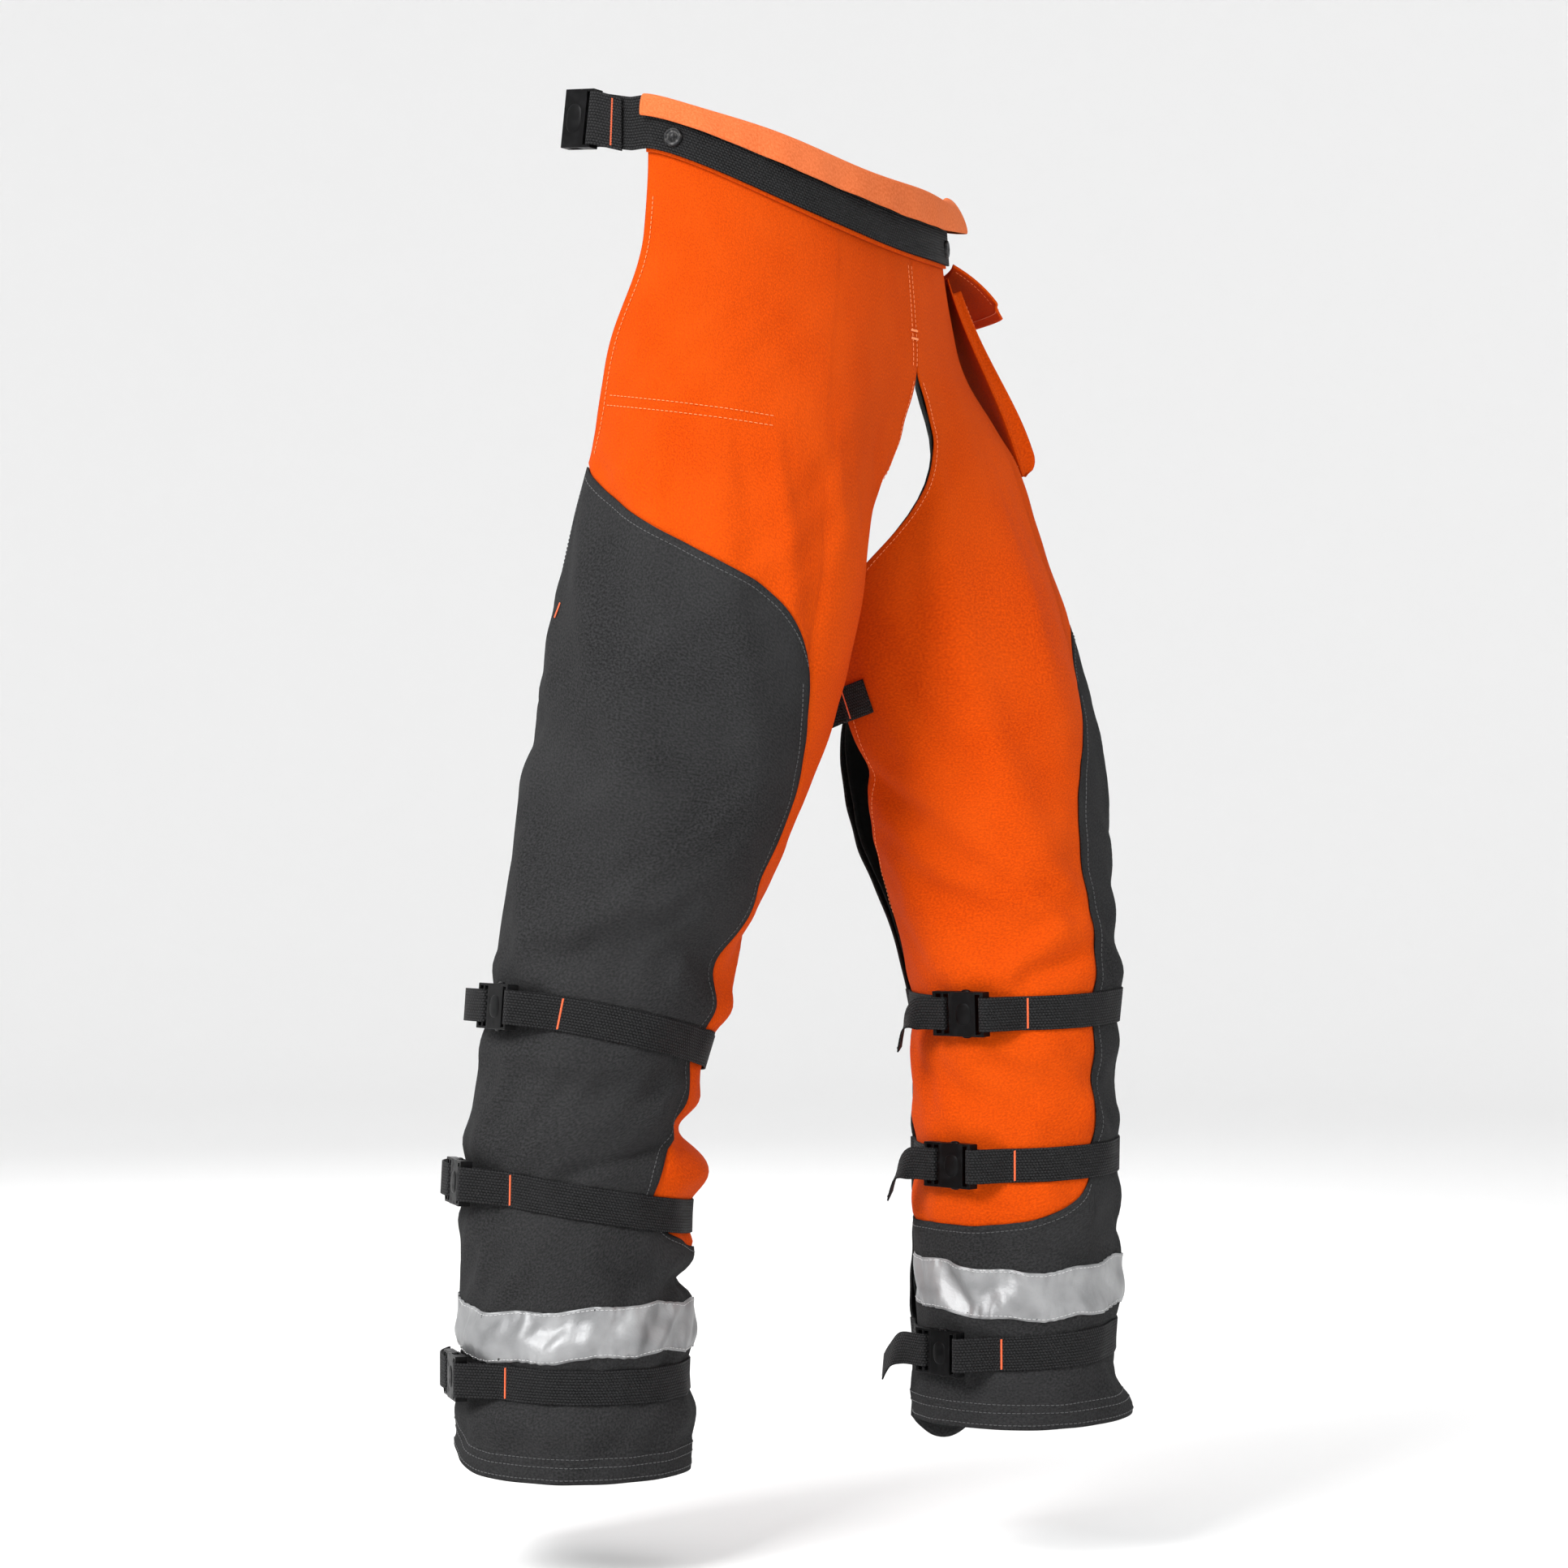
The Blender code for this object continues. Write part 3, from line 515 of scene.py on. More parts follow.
def edges(leg, z):
    """Angles of the inner and the outer edge of the leg's cloth, from front to outside."""
    open_part, wrap = ease(*INNER_OPENS_Z, z), ease(*WRAP_Z, z)
    inner = mix(mix(*INNER_EDGE, open_part), FLAP_UNDER, wrap)
    rearwards = ease(*OUTER_OPENS_Z[leg], z)
    return inner, mix(mix(OUTER_EDGE[leg], REAR_EDGE[leg], rearwards), FLAP_OVER[leg], wrap)


def lap(angle, z):
    """The outer flap stands off where it passes over the inner one."""
    return LAP_HEIGHT * ease(*WRAP_Z, z) * ease(*LAP_ANGLES, angle)


def cloth(leg, part, z, out=0.0):
    """Point of the chaps at a share 0 to 1 of the way from the inner to the outer edge."""
    side = SIDES[leg]
    inner, outer = edges(leg, z)
    angle = mix(inner, outer, part)
    start = mix(CREASE_Z, BLEND_TOP_Z, ease(0.0, CENTRE_SEAM_SHARE, part))
    hang = ease(start, BLEND_END_Z, z)[..., None]
    low = on_leg(leg, side * angle, z, out + lap(angle, z))
    fork = FORK_ANGLE[leg] * ease(CREASE_Z, CREASE_Z - FORK_DROP, z)
    end = mix(CLOTH_END[leg], HIP_END[leg], ease(*HIP_NARROWS_Z, z))
    high = on_waist(side * mix(fork, end, part), z, out)
    made = mix(high, low, hang)
    made[..., 0] = side * np.maximum(side * made[..., 0], 0.0)
    return made


def frontness(angle):
    """1 at the middle of the front, 0 at the hips and behind them."""
    return np.maximum(np.cos(angle), 0.0) ** BELT_CURVE


def belt_z(angle):
    """Height of the belt's lower edge."""
    hip = np.where(np.asarray(angle) > 0, HIP_BELT_Z["left"], HIP_BELT_Z["right"])
    return mix(hip, FRONT_BELT_Z, frontness(angle))


def seam_share(leg, z):
    inner, outer = edges(leg, z)
    angle = mix(CORNER_ANGLE, SEAM_ANGLE[leg], ease(CORNER_Z, SEAM_END_Z, z))
    angle = angle + SEAM_DRIFT[leg] * ease(*DRIFT_Z, z)
    return (angle - inner) / (outer - inner)


def column(leg, across, z):
    """Share of the way round of a grid column, whose seam column is at SPLIT."""
    seam = seam_share(leg, z)
    beyond = mix(seam, 1.0, (across - SPLIT) / (1 - SPLIT))
    return np.where(across <= SPLIT, seam * across / SPLIT, beyond)


# ---- one grid for each leg's cloth ----

CORNER_ROUND, CORNER_REACH = 0.030, 0.13
TOE_ROUND, TOE_REACH = 0.044, 0.20


def quarter(t):
    """Quarter circle: flat at 0 and upright at 1."""
    return 1 - np.sqrt(1 - np.clip(t, 0, 0.9995) ** 2)


def cuff_line(leg, across):
    """Lower edge of the orange front, which curves up into the side seam."""
    toe = quarter((across - (SPLIT - TOE_REACH)) / TOE_REACH) * TOE_ROUND
    beyond = TOE_ROUND * ease(SPLIT + TOE_REACH, SPLIT, across)
    return CUFF_Z[leg] + np.where(across <= SPLIT, toe, beyond)


def slope_line(_, across):
    """Upper edge of the grey outer side, rounded where it turns down the shin, alike on both legs."""
    climb = np.maximum(across - SPLIT, 0.0) / (1 - SPLIT)
    corner = quarter(1 - (across - SPLIT) / CORNER_REACH) * CORNER_ROUND
    return mix(CORNER_Z, GREY_TOP_Z, climb**0.8) - np.where(across < SPLIT, CORNER_ROUND, corner)


def top_line(leg, across):
    angle = SIDES[leg] * column(leg, across, np.zeros_like(across)) * CLOTH_END[leg]
    return belt_z(angle) + mix(*BAND_TOP, frontness(angle)) - 0.003


def hem_line(leg, across):
    """The left leg's hem hangs down at its rear corner, and the right one's rises there."""
    flat = np.full_like(across, HEM_Z[leg])
    angle = np.degrees(mix(*edges(leg, flat), column(leg, across, flat)))
    if leg == "right":
        return flat + 0.015 * bell(angle - 154, 26)
    return flat - 0.028 * bell(angle - 158, 26) + 0.003 * bell(angle - 20, 40)


# Folds: (angle, z) of both ends in degrees and metres, then width and height in millimetres.
FOLDS = {
    "right": [
        (15, -0.711, 68, -0.731, 7, -4.5), (20, -0.690, 75, -0.704, 14, 3.5),
        (73, -0.672, 100, -0.728, 9, -3.0), (104, -0.660, 120, -0.715, 10, 2.0),
        (-52, -0.733, 2, -0.737, 18, 9.0), (-60, -0.699, -2, -0.703, 13, -10.0),
        (-55, -0.668, 0, -0.672, 14, -4.0), (-48, -0.792, 10, -0.796, 10, 3.5),
        (-60, -0.815, 2, -0.816, 9, -7.5), (46, -0.795, 30, -0.817, 7, -2.5),
        (112, -0.785, 118, -0.815, 6, 2.2), (112, -0.556, 52, -0.535, 15, 2.6),
        (120, -0.585, 60, -0.570, 9, -2.2), (30, -0.560, -10, -0.585, 12, -2.5),
        (20, -0.520, -22, -0.548, 15, 2.5), (125, -0.470, 80, -0.490, 16, -2.2),
        (138, -0.405, 104, -0.430, 13, -2.0), (100, -0.640, 60, -0.660, 10, 2.0),
        (-20, -0.640, 20, -0.668, 9, -2.6), (80, -0.905, 66, -0.940, 12, 1.8),
    ],
    "left": [
        (-130, -0.425, -104, -0.470, 10, -4.5), (-118, -0.480, -92, -0.520, 13, 2.6),
        (-107, -0.525, -80, -0.543, 13, -2.6), (-66, -0.583, -38, -0.556, 9, 2.6),
        (-60, -0.595, -30, -0.573, 7, -2.6), (-84, -0.640, -62, -0.652, 8, 2.2),
        (-20, -0.500, 22, -0.520, 14, -2.0), (-92, -0.340, -60, -0.380, 16, -2.2),
        (-30, -0.655, 10, -0.690, 12, -2.0), (-75, -0.752, -40, -0.763, 7, 1.6),
        (-60, -0.790, -20, -0.802, 7, -2.0), (0, -0.905, 44, -0.924, 12, 4.5),
        (60, -0.560, 110, -0.590, 12, -2.6), (70, -0.670, 120, -0.690, 12, 2.2),
    ],
}
FOLD_GAIN = 1.2
MEAN_RADIUS = 0.095
STRAP_PINCH, PINCH_WIDTH = {"right": 0.0032, "left": 0.0022}, 0.0155
STRAP_BULGE = {"right": 0.0019, "left": 0.0010}
# Soft bulges: how far out, height and its width, leg angle in degrees and its width.
BULGES = {"right": [], "left": [(0.023, -0.205, 0.060, 36, 32), (0.006, -0.085, 0.028, 32, 24)]}
WAVES = 9


def fold_height(leg, angle, z):
    """Outward push of the folds at a leg's own angle and a height."""
    total = np.zeros(np.broadcast(angle, z).shape)
    flat = np.degrees(angle)
    for a0, z0, a1, z1, width, height in FOLDS[leg]:
        step = np.array([math.radians(a1 - a0) * MEAN_RADIUS, z1 - z0])
        from_x, from_z = np.radians(flat - a0) * MEAN_RADIUS, z - z0
        along = np.clip((from_x * step[0] + from_z * step[1]) / (step @ step), 0, 1)
        off = np.hypot(from_x - along * step[0], from_z - along * step[1])
        taper = 0.35 + 0.65 * np.sin(math.pi * (0.15 + 0.7 * along))
        total += FOLD_GAIN * height * 0.001 * bell(off, width * 0.001) * taper
    return total


def strap_z(turn, buckle_z, far_z):
    """Height of a strap's middle at a turn from its buckle."""
    return mix(buckle_z, far_z, (1 - np.cos(turn)) / 2)


def strap_height(leg, number, world):
    """Height of a calf strap's middle at a world angle."""
    degrees, near, far = CALF_STRAPS[leg][number]
    return strap_z(world - math.radians(degrees), near, far)


def push(leg, across, z):
    """Everything that moves the cloth off the plain surface: straps, folds and soft waves."""
    part = column(leg, across, z)
    angle = mix(*edges(leg, z), part)
    world = SIDES[leg] * angle
    out = fold_height(leg, angle, z)
    for number in range(3):
        gap = z - strap_height(leg, number, world)
        out -= STRAP_PINCH[leg] * bell(gap, PINCH_WIDTH)
        ripple = 1 + 0.5 * np.sin(11 * angle + 5 * number)
        out += STRAP_BULGE[leg] * bell(np.abs(gap) - 0.030, 0.012) * ripple
    calf = ease(-0.40, -0.66, z)
    for wave, (lean, reach, start) in enumerate(RANDOM_WAVES[leg]):
        size = mix(0.00035, 0.0008, calf) * 3 / (wave + 3)
        out += size * np.sin(angle * reach + z * lean + start)
    hem, degrees = HEM_Z[leg], np.degrees(angle)
    out += 0.0010 * ease(hem + 0.022, hem + 0.018, z)
    if leg == "left":
        out += 0.007 * ease(hem + 0.035, hem, z) * bell(degrees - 28, 30)
        out += 0.013 * bell(z + 0.490, 0.058) * ease(math.radians(140), math.radians(180), angle)
    else:
        out += 0.005 * ease(hem + 0.060, hem + 0.010, z) * bell(degrees - 150, 30)
    for far, height, tall, middle, wide in BULGES[leg]:
        out += far * bell(z - height, tall) * bell(degrees - middle, wide)
    out *= ease(CREASE_Z + 0.10, CREASE_Z - 0.03, z) * 0.8 + 0.2
    return out


def random_wave(number):
    """Lean, reach and start of one soft wave in the cloth."""
    lean = random.uniform(-60, 60) + 25 * number
    return lean, random.uniform(1.0, 3.5) * (1 + 0.6 * number), random.uniform(0, 6.28)


RANDOM_WAVES = {leg: [random_wave(number) for number in range(WAVES)] for leg in SIDES}


class LegGrid:
    """Points of a leg's shell by row and column, with ways to read any place on it."""

    def __init__(self, leg):
        self.leg = leg
        self.across = np.linspace(0, 1, COLUMNS + 1)
        self.split = int(round(SPLIT * COLUMNS))
        self.across[: self.split + 1] = np.linspace(0, SPLIT, self.split + 1)
        self.across[self.split :] = np.linspace(SPLIT, 1, COLUMNS - self.split + 1)
        lines = [line(leg, self.across) for line in (hem_line, cuff_line, slope_line, top_line)]
        rows = []
        for low, high, count in zip(lines, lines[1:], (CUFF_ROWS, SHIN_ROWS, THIGH_ROWS)):
            rows += [mix(low, high, k / count) for k in range(count)]
        self.z = np.array(rows + [lines[-1]])
        self.wide = np.broadcast_to(self.across, self.z.shape)
        self.out = push(leg, self.wide, self.z)
        self.points = cloth(leg, column(leg, self.wide, self.z), self.z, self.out)

    def normals(self):
        return grid_normals(self.points, SIDES[self.leg])

    def read(self, across, z, out=0.0):
        """Points and normals at these columns and heights, 'out' metres outside the cloth."""
        across, z = np.broadcast_arrays(np.asarray(across, float), np.asarray(z, float))
        c = np.interp(across, self.across, np.arange(COLUMNS + 1))
        c0 = np.clip(c.astype(int), 0, COLUMNS - 1)
        share = c - c0
        normal = self.normals()
        made = []
        for grid in (self.points, normal):
            sides = []
            for index in (c0, c0 + 1):
                r = np.array([np.interp(h, self.z[:, i], np.arange(len(self.z)))
                              for h, i in zip(z.ravel(), index.ravel())]).reshape(z.shape)
                r0 = np.clip(r.astype(int), 0, len(self.z) - 2)
                t = (r - r0)[..., None]
                sides.append(mix(grid[r0, index], grid[r0 + 1, index], t))
            made.append(mix(sides[0], sides[1], share[..., None]))
        return made[0] + made[1] * out, made[1]


def grid_normals(points, side):
    along = np.gradient(points, axis=1)
    up = np.gradient(points, axis=0)
    normal = np.cross(along, up) * side
    return normal / np.maximum(np.linalg.norm(normal, axis=-1, keepdims=True), 1e-9)


# ---- meshes from grids ----


def flat_map(points):
    """UV in metres of a grid, from its mean length each way."""
    along = np.linalg.norm(np.diff(points, axis=1), axis=-1).mean(axis=0)
    up = np.linalg.norm(np.diff(points, axis=0), axis=-1).mean(axis=1)
    u = np.concatenate([[0], np.cumsum(along)])
    v = np.concatenate([[0], np.cumsum(up)])
    return np.stack(np.meshgrid(u, v), axis=-1)


def grid_object(name, points, look, thickness=0.0, outward=1, keep=None, uv=None, offset=-1.0):
    """Mesh of a grid of points, or of the faces of it that keep marks, made solid."""
    rows, columns = points.shape[:2]
    keep = np.ones((rows - 1, columns - 1), bool) if keep is None else keep
    r, c = np.nonzero(keep)
    corner = r * columns + c
    faces = np.stack([corner, corner + 1, corner + columns + 1, corner + columns], axis=1)
    if outward < 0:
        faces = faces[:, ::-1]
    used, index = np.unique(faces, return_inverse=True)
    faces = index.reshape(faces.shape)
    mesh = bpy.data.meshes.new(name)
    mesh.from_pydata(points.reshape(-1, 3)[used].tolist(), [], faces.tolist())
    uv = flat_map(points) if uv is None else uv
    layer = mesh.uv_layers.new(name="metres")
    layer.data.foreach_set("uv", uv.reshape(-1, 2)[used][faces.ravel()].astype(np.float32).ravel())
    mesh.shade_smooth()
    obj = new_object(name, mesh, look)
    if thickness:
        solid = obj.modifiers.new("thickness", "SOLIDIFY")
        solid.thickness, solid.offset = thickness, offset
        solid.use_even_offset = False
    return obj


# ---- stitches ----

STITCH_SIDES = 5
STITCH_PITCH, STITCH_FILL = 0.0036, 0.72
THREAD_LIFT = 0.0004
# Stitch rows on the hem, above its edge, and on the thigh, at its middle and beyond its outer edge.
HEM_ROWS, THIGH_ROWS_Z = (0.0035, 0.0125, 0.0185), ((-0.196, -0.172), (-0.203, -0.179))
STITCH_RINGS = ((-0.5, 0.35), (-0.34, 0.85), (0.0, 1.0), (0.34, 0.85), (0.5, 0.35))


def stitch_object(name, starts, ends, normals, look, width):
    """One mesh of many short threads, each from a start to an end, arched off the cloth."""
    starts, ends, normals = (np.asarray(v, float).reshape(-1, 3) for v in (starts, ends, normals))
    middle, reach = (starts + ends) / 2, ends - starts
    length = np.linalg.norm(reach, axis=1, keepdims=True)
    reach = reach / np.maximum(length, 1e-9)
    across = np.cross(normals, reach)
    verts, faces = [], []
    turn = np.arange(STITCH_SIDES) * math.tau / STITCH_SIDES
    for share, girth in STITCH_RINGS:
        for a in turn:
            lift = width * 0.5 * (girth * math.cos(a) + 1.1 * girth - 0.5)
            aside = across * (width * 0.5 * girth * math.sin(a))
            verts.append(middle + reach * length * share + normals * lift + aside)
    verts = np.stack(verts, axis=1)
    size = len(STITCH_RINGS) * STITCH_SIDES
    for ring in range(len(STITCH_RINGS) - 1):
        for k in range(STITCH_SIDES):
            a, b = ring * STITCH_SIDES + k, ring * STITCH_SIDES + (k + 1) % STITCH_SIDES
            faces.append((a, b, b + STITCH_SIDES, a + STITCH_SIDES))
    ends_faces = [tuple(range(STITCH_SIDES))[::-1], tuple(range(size - STITCH_SIDES, size))]
    every = []
    for k in range(len(starts)):
        every += [tuple(i + k * size for i in face) for face in faces + ends_faces]
    mesh = bpy.data.meshes.new(name)
    mesh.from_pydata(verts.reshape(-1, 3).tolist(), [], every)
    mesh.validate()
    mesh.shade_smooth()
    return new_object(name, mesh, look)


def stitch_ends(points, normals):
    """Cuts a line into stitches: their starts, ends and normals."""
    steps = np.concatenate([[0], np.cumsum(np.linalg.norm(np.diff(points, axis=0), axis=1))])
    places = np.arange(0, steps[-1] - STITCH_PITCH, STITCH_PITCH)

    def at(grid, s):
        return np.stack([np.interp(s, steps, grid[:, k]) for k in range(3)], axis=1)

    return at(points, places), at(points, places + STITCH_PITCH * STITCH_FILL), at(normals, places)


def stitch_lines(name, lines, thread, width=0.0006, body=None):
    """Several lines of (points, normals) as one mesh of stitches."""
    found = [stitch_ends(*line) for line in lines]
    joined = (np.concatenate(v) for v in zip(*found))
    obj = stitch_object(name, *joined, LOOKS[thread], width)
    if body:
        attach(obj, body)
    return obj


# ---- leg cloth ----

REAR_TACK_Z, REAR_TACK_SHARE = -0.317, 0.90
SHELL, UNDER = 0.0015, 0.0016


def leg_shells(grid):
    """Orange and grey panels. The grey one lies on the orange one's turned-in edge."""
    leg = grid.leg
    rows, columns = grid.z.shape[0] - 1, COLUMNS
    row, col = np.meshgrid(np.arange(rows), np.arange(columns), indexing="ij")
    shin = (row >= CUFF_ROWS) & (row < CUFF_ROWS + SHIN_ROWS)
    grey = (row < CUFF_ROWS) | (shin & (col >= grid.split))
    orange = ~grey
    tucked = orange.copy()
    tucked[:-1] |= orange[1:]
    tucked[:, 1:] |= orange[:, :-1]
    depth = np.zeros(grid.z.shape)
    corner_grey = np.zeros(grid.z.shape, bool)
    for dr in (0, 1):
        for dc in (0, 1):
            corner_grey[dr : dr + rows, dc : dc + columns] |= grey
    depth[corner_grey] = UNDER
    normals, uv = grid.normals(), flat_map(grid.points)
    low = grid.points - normals * depth[..., None]
    high = grid.points + normals * 0.0003
    parts = []
    for colour, points, keep in (("orange", low, tucked), ("grey", high, grey)):
        name, look = f"{leg}_{colour}_shell", LOOKS[colour]
        parts.append(grid_object(name, points, look, SHELL, SIDES[leg], keep, uv))
    return parts


# ---- the cloth's own crumpling, simulated ----

FABRIC = {
    "quality": 6,
    "mass": 0.25,
    "tension_stiffness": 18,
    "compression_stiffness": 18,
    "shear_stiffness": 8,
    "bending_stiffness": 0.12,
    "tension_damping": 12,
    "compression_damping": 12,
    "vertex_group_mass": "held",
    "shrink_min": -0.032,
}
GRAVITY_SHARE, SETTLE_FRAMES, MOVE_CAP = 0.35, 24, 0.0065
SETTLE_ROWS, SETTLE_COLUMNS = 3, 2
SWELL_REACH, SWELL_SHARE = (9, 11), 0.75
HOLLOW_REACH, HOLLOW_BLUR = (3, 4), (3, 5)
MOVE_GAIN, THIGH_GAIN, THIGH_END_Z = {"right": 1.5, "left": 1.0}, 0.5, (-0.30, -0.50)
# Where the cloth is held: heights at the hip, above the hem and of the flaps, and flap angles.
HELD_HIP_Z, HELD_HEM = (CREASE_Z - 0.090, CREASE_Z - 0.020), (0.030, 0.008)
HELD_FLAPS_Z, HELD_FLAPS = (-0.40, -0.50), (math.radians(112), math.radians(150))


def held_share(grid, rows, columns):
    """1 where the cloth is held: at the hip, under the straps, at the hem and on the flaps."""
    leg = grid.leg
    z, across = grid.z[np.ix_(rows, columns)], grid.wide[np.ix_(rows, columns)]
    angle = mix(*edges(leg, z), column(leg, across, z))
    held = ease(*HELD_HIP_Z, z)
    for number in range(3):
        held = np.maximum(held, bell(z - strap_height(leg, number, SIDES[leg] * angle), 0.012))
    held = np.maximum(held, ease(*(HEM_Z[leg] + k for k in HELD_HEM), z) * 0.9)
    for side in (1, -1):
        lapped = ease(*(side * k for k in HELD_FLAPS), angle)
        held = np.maximum(held, lapped * ease(*HELD_FLAPS_Z, z))
    free_edge = np.maximum(ease(0.06, 0.01, across), ease(0.94, 0.99, across))
    return np.maximum(held, free_edge * 0.85)


def widened(field, reach):
    """Moving average over an odd number of rows and columns."""
    for axis, count in enumerate(reach):
        pad = [(0, 0), (0, 0)]
        pad[axis] = (count // 2,) * 2
        kernel = np.full(count, 1 / count)
        padded = np.pad(field, pad, mode="edge")
        field = np.apply_along_axis(np.convolve, axis, padded, kernel, "valid")
    return field


def hollow(field):
    """Lowest value near each place, softened, so that hardly any of it lies above the field."""
    rows, columns = HOLLOW_REACH
    wide = np.pad(field, ((rows, rows), (columns, columns)), mode="edge")
    near = [wide[r : r + field.shape[0], c : c + field.shape[1]]
            for r in range(2 * rows + 1) for c in range(2 * columns + 1)]
    return widened(np.min(near, axis=0), HOLLOW_BLUR)


def settle(grid):
    """Cloth simulation: spare cloth makes the shell buckle and sag between its straps.

    Only the fine part of the move along the normal is kept, scaled and capped, so that the seams
    and the leg's outline stay where they are."""
    rows = np.unique(np.append(np.arange(0, len(grid.z), SETTLE_ROWS), len(grid.z) - 1))
    columns = np.arange(0, COLUMNS + 1, SETTLE_COLUMNS)
    start = grid.points[np.ix_(rows, columns)]
    obj = grid_object(f"{grid.leg}_settling", start, LOOKS["grey"])
    held = held_share(grid, rows, columns)
    group = obj.vertex_groups.new(name="held")
    for index, weight in enumerate(held.ravel()):
        group.add([index], float(weight), "REPLACE")
    modifier = obj.modifiers.new("settle", "CLOTH")
    for key, value in FABRIC.items():
        setattr(modifier.settings, key, value)
    modifier.settings.effector_weights.gravity = GRAVITY_SHARE
    modifier.collision_settings.use_collision = False
    scene = bpy.context.scene
    for frame in range(1, SETTLE_FRAMES + 1):
        scene.frame_set(frame)
    settled = obj.evaluated_get(bpy.context.evaluated_depsgraph_get())
    mesh = settled.to_mesh()
    moved = np.empty(len(mesh.vertices) * 3, np.float32)
    mesh.vertices.foreach_get("co", moved)
    settled.to_mesh_clear()
    scene.frame_set(1)
    bpy.data.objects.remove(obj)
    normals = grid.normals()
    gain = ((moved.reshape(start.shape) - start) * normals[np.ix_(rows, columns)]).sum(axis=-1)
    gain = MOVE_GAIN[grid.leg] * (gain - SWELL_SHARE * widened(gain, SWELL_REACH)) * (1 - held)
    gain *= mix(THIGH_GAIN, 1.0, ease(*THIGH_END_Z, grid.z[np.ix_(rows, columns)]))
    gain *= MOVE_CAP / np.hypot(MOVE_CAP, gain)
    fine = np.array([np.interp(np.arange(COLUMNS + 1), columns, line) for line in gain])
    fine = np.array([np.interp(np.arange(len(grid.z)), rows, line) for line in fine.T]).T
    for _ in range(2):
        fine = widened(fine, (3, 3))
    grid.points = grid.points + normals * fine[..., None]
    grid.out = grid.out + fine


def leg_stitching(grid):
    """Topstitching on the seams, the open edges and the hem."""
    leg, n, inside = grid.leg, 240, 0.0050

    def line(across, z):
        return grid.read(across, z, THREAD_LIFT)

    slope = np.linspace(SPLIT + 0.004, 0.995, n)
    toe = np.linspace(0.01, SPLIT - 0.002, n)
    hem = np.linspace(0.01, 0.99, 2 * n)
    thigh = np.linspace(0.55, 0.97, n)
    rear = np.full(2 * n, 0.985)
    shin_z = np.linspace(CUFF_Z[leg] + TOE_ROUND, CORNER_Z - CORNER_ROUND - inside, n)
    rear_z = np.linspace(HEM_Z[leg] + 0.004, GREY_TOP_Z - 0.012, 2 * n)
    edge_z = np.linspace(CUFF_Z[leg] + 0.01, CREASE_Z - 0.012, 2 * n)
    top_z = np.linspace(GREY_TOP_Z + 0.008, -0.03, n)
    grey = [
        line(slope, slope_line(leg, slope) - inside),
        line(np.full(n, SPLIT + 0.014), shin_z),
        line(toe, cuff_line(leg, toe) - inside),
    ]
    grey += [line(hem, hem_line(leg, hem) + rise) for rise in HEM_ROWS]
    grey.append(line(rear, np.minimum(rear_z, slope_line(leg, rear) - 0.006)))
    orange = [line(np.full(2 * n, 0.014), edge_z), line(np.full(n, 0.975), top_z)]
    for near_z, far_z in THIGH_ROWS_Z:
        orange.append(line(thigh, mix(near_z, far_z, (thigh - 0.5) * 2)))
    return [
        stitch_lines(f"{leg}_grey_stitching", grey, "grey_thread", 0.0007),
        stitch_lines(f"{leg}_orange_stitching", orange, "orange_thread"),
    ]


def leg_band(grid):
    """Silver tape round the cuff, puckered along its stitched edges."""
    leg = grid.leg
    low, high = (v.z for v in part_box(f"{leg}_reflective_band"))
    middle = (low + high) / 2
    across = np.linspace(0.10, 0.985, 260)
    ups = np.linspace(-0.5, 0.5, 19)
    wide, up = np.meshgrid(across, ups)
    part = column(leg, wide, np.full_like(wide, middle))
    angle = mix(*edges(leg, np.full_like(wide, middle)), part)
    sag = 0.0035 * np.sin(2.2 * angle + 0.6) + 0.0012 * np.sin(9 * angle)
    z = middle + sag + up * BAND_HEIGHT
    pucker = 0.0007 * np.sin(angle * 46 + 3 * np.sin(9 * angle)) * np.abs(2 * up) ** 2
    buckle = 0.0024 * np.sin(angle * 13 + up * 5) * np.sin(angle * 5.3 + 1)
    buckle = buckle * (1 - np.abs(2 * up) ** 4)
    points, normals = grid.read(wide, z)
    points = points + normals * (0.0012 + pucker + np.maximum(buckle, -0.0004))[..., None]
    obj = grid_object(f"{leg}_silver_band", points, LOOKS["silver"], 0.0006, SIDES[leg])
    lines = [(points[row] + normals[row] * 0.0002, normals[row]) for row in (1, 17)]
    return obj, stitch_lines(f"{leg}_band_stitching", lines, "silver_thread")


CAD_COLUMNS = 19.0
# How far the lining lies under the shell at the edges, within them and behind the pad.
EDGE_DEPTH, CLOTH_DEPTH, PAD_DEPTH, QUILT_DEPTH, PAD_START = 0.0020, 0.0016, 0.0062, 0.0009, 0.0028


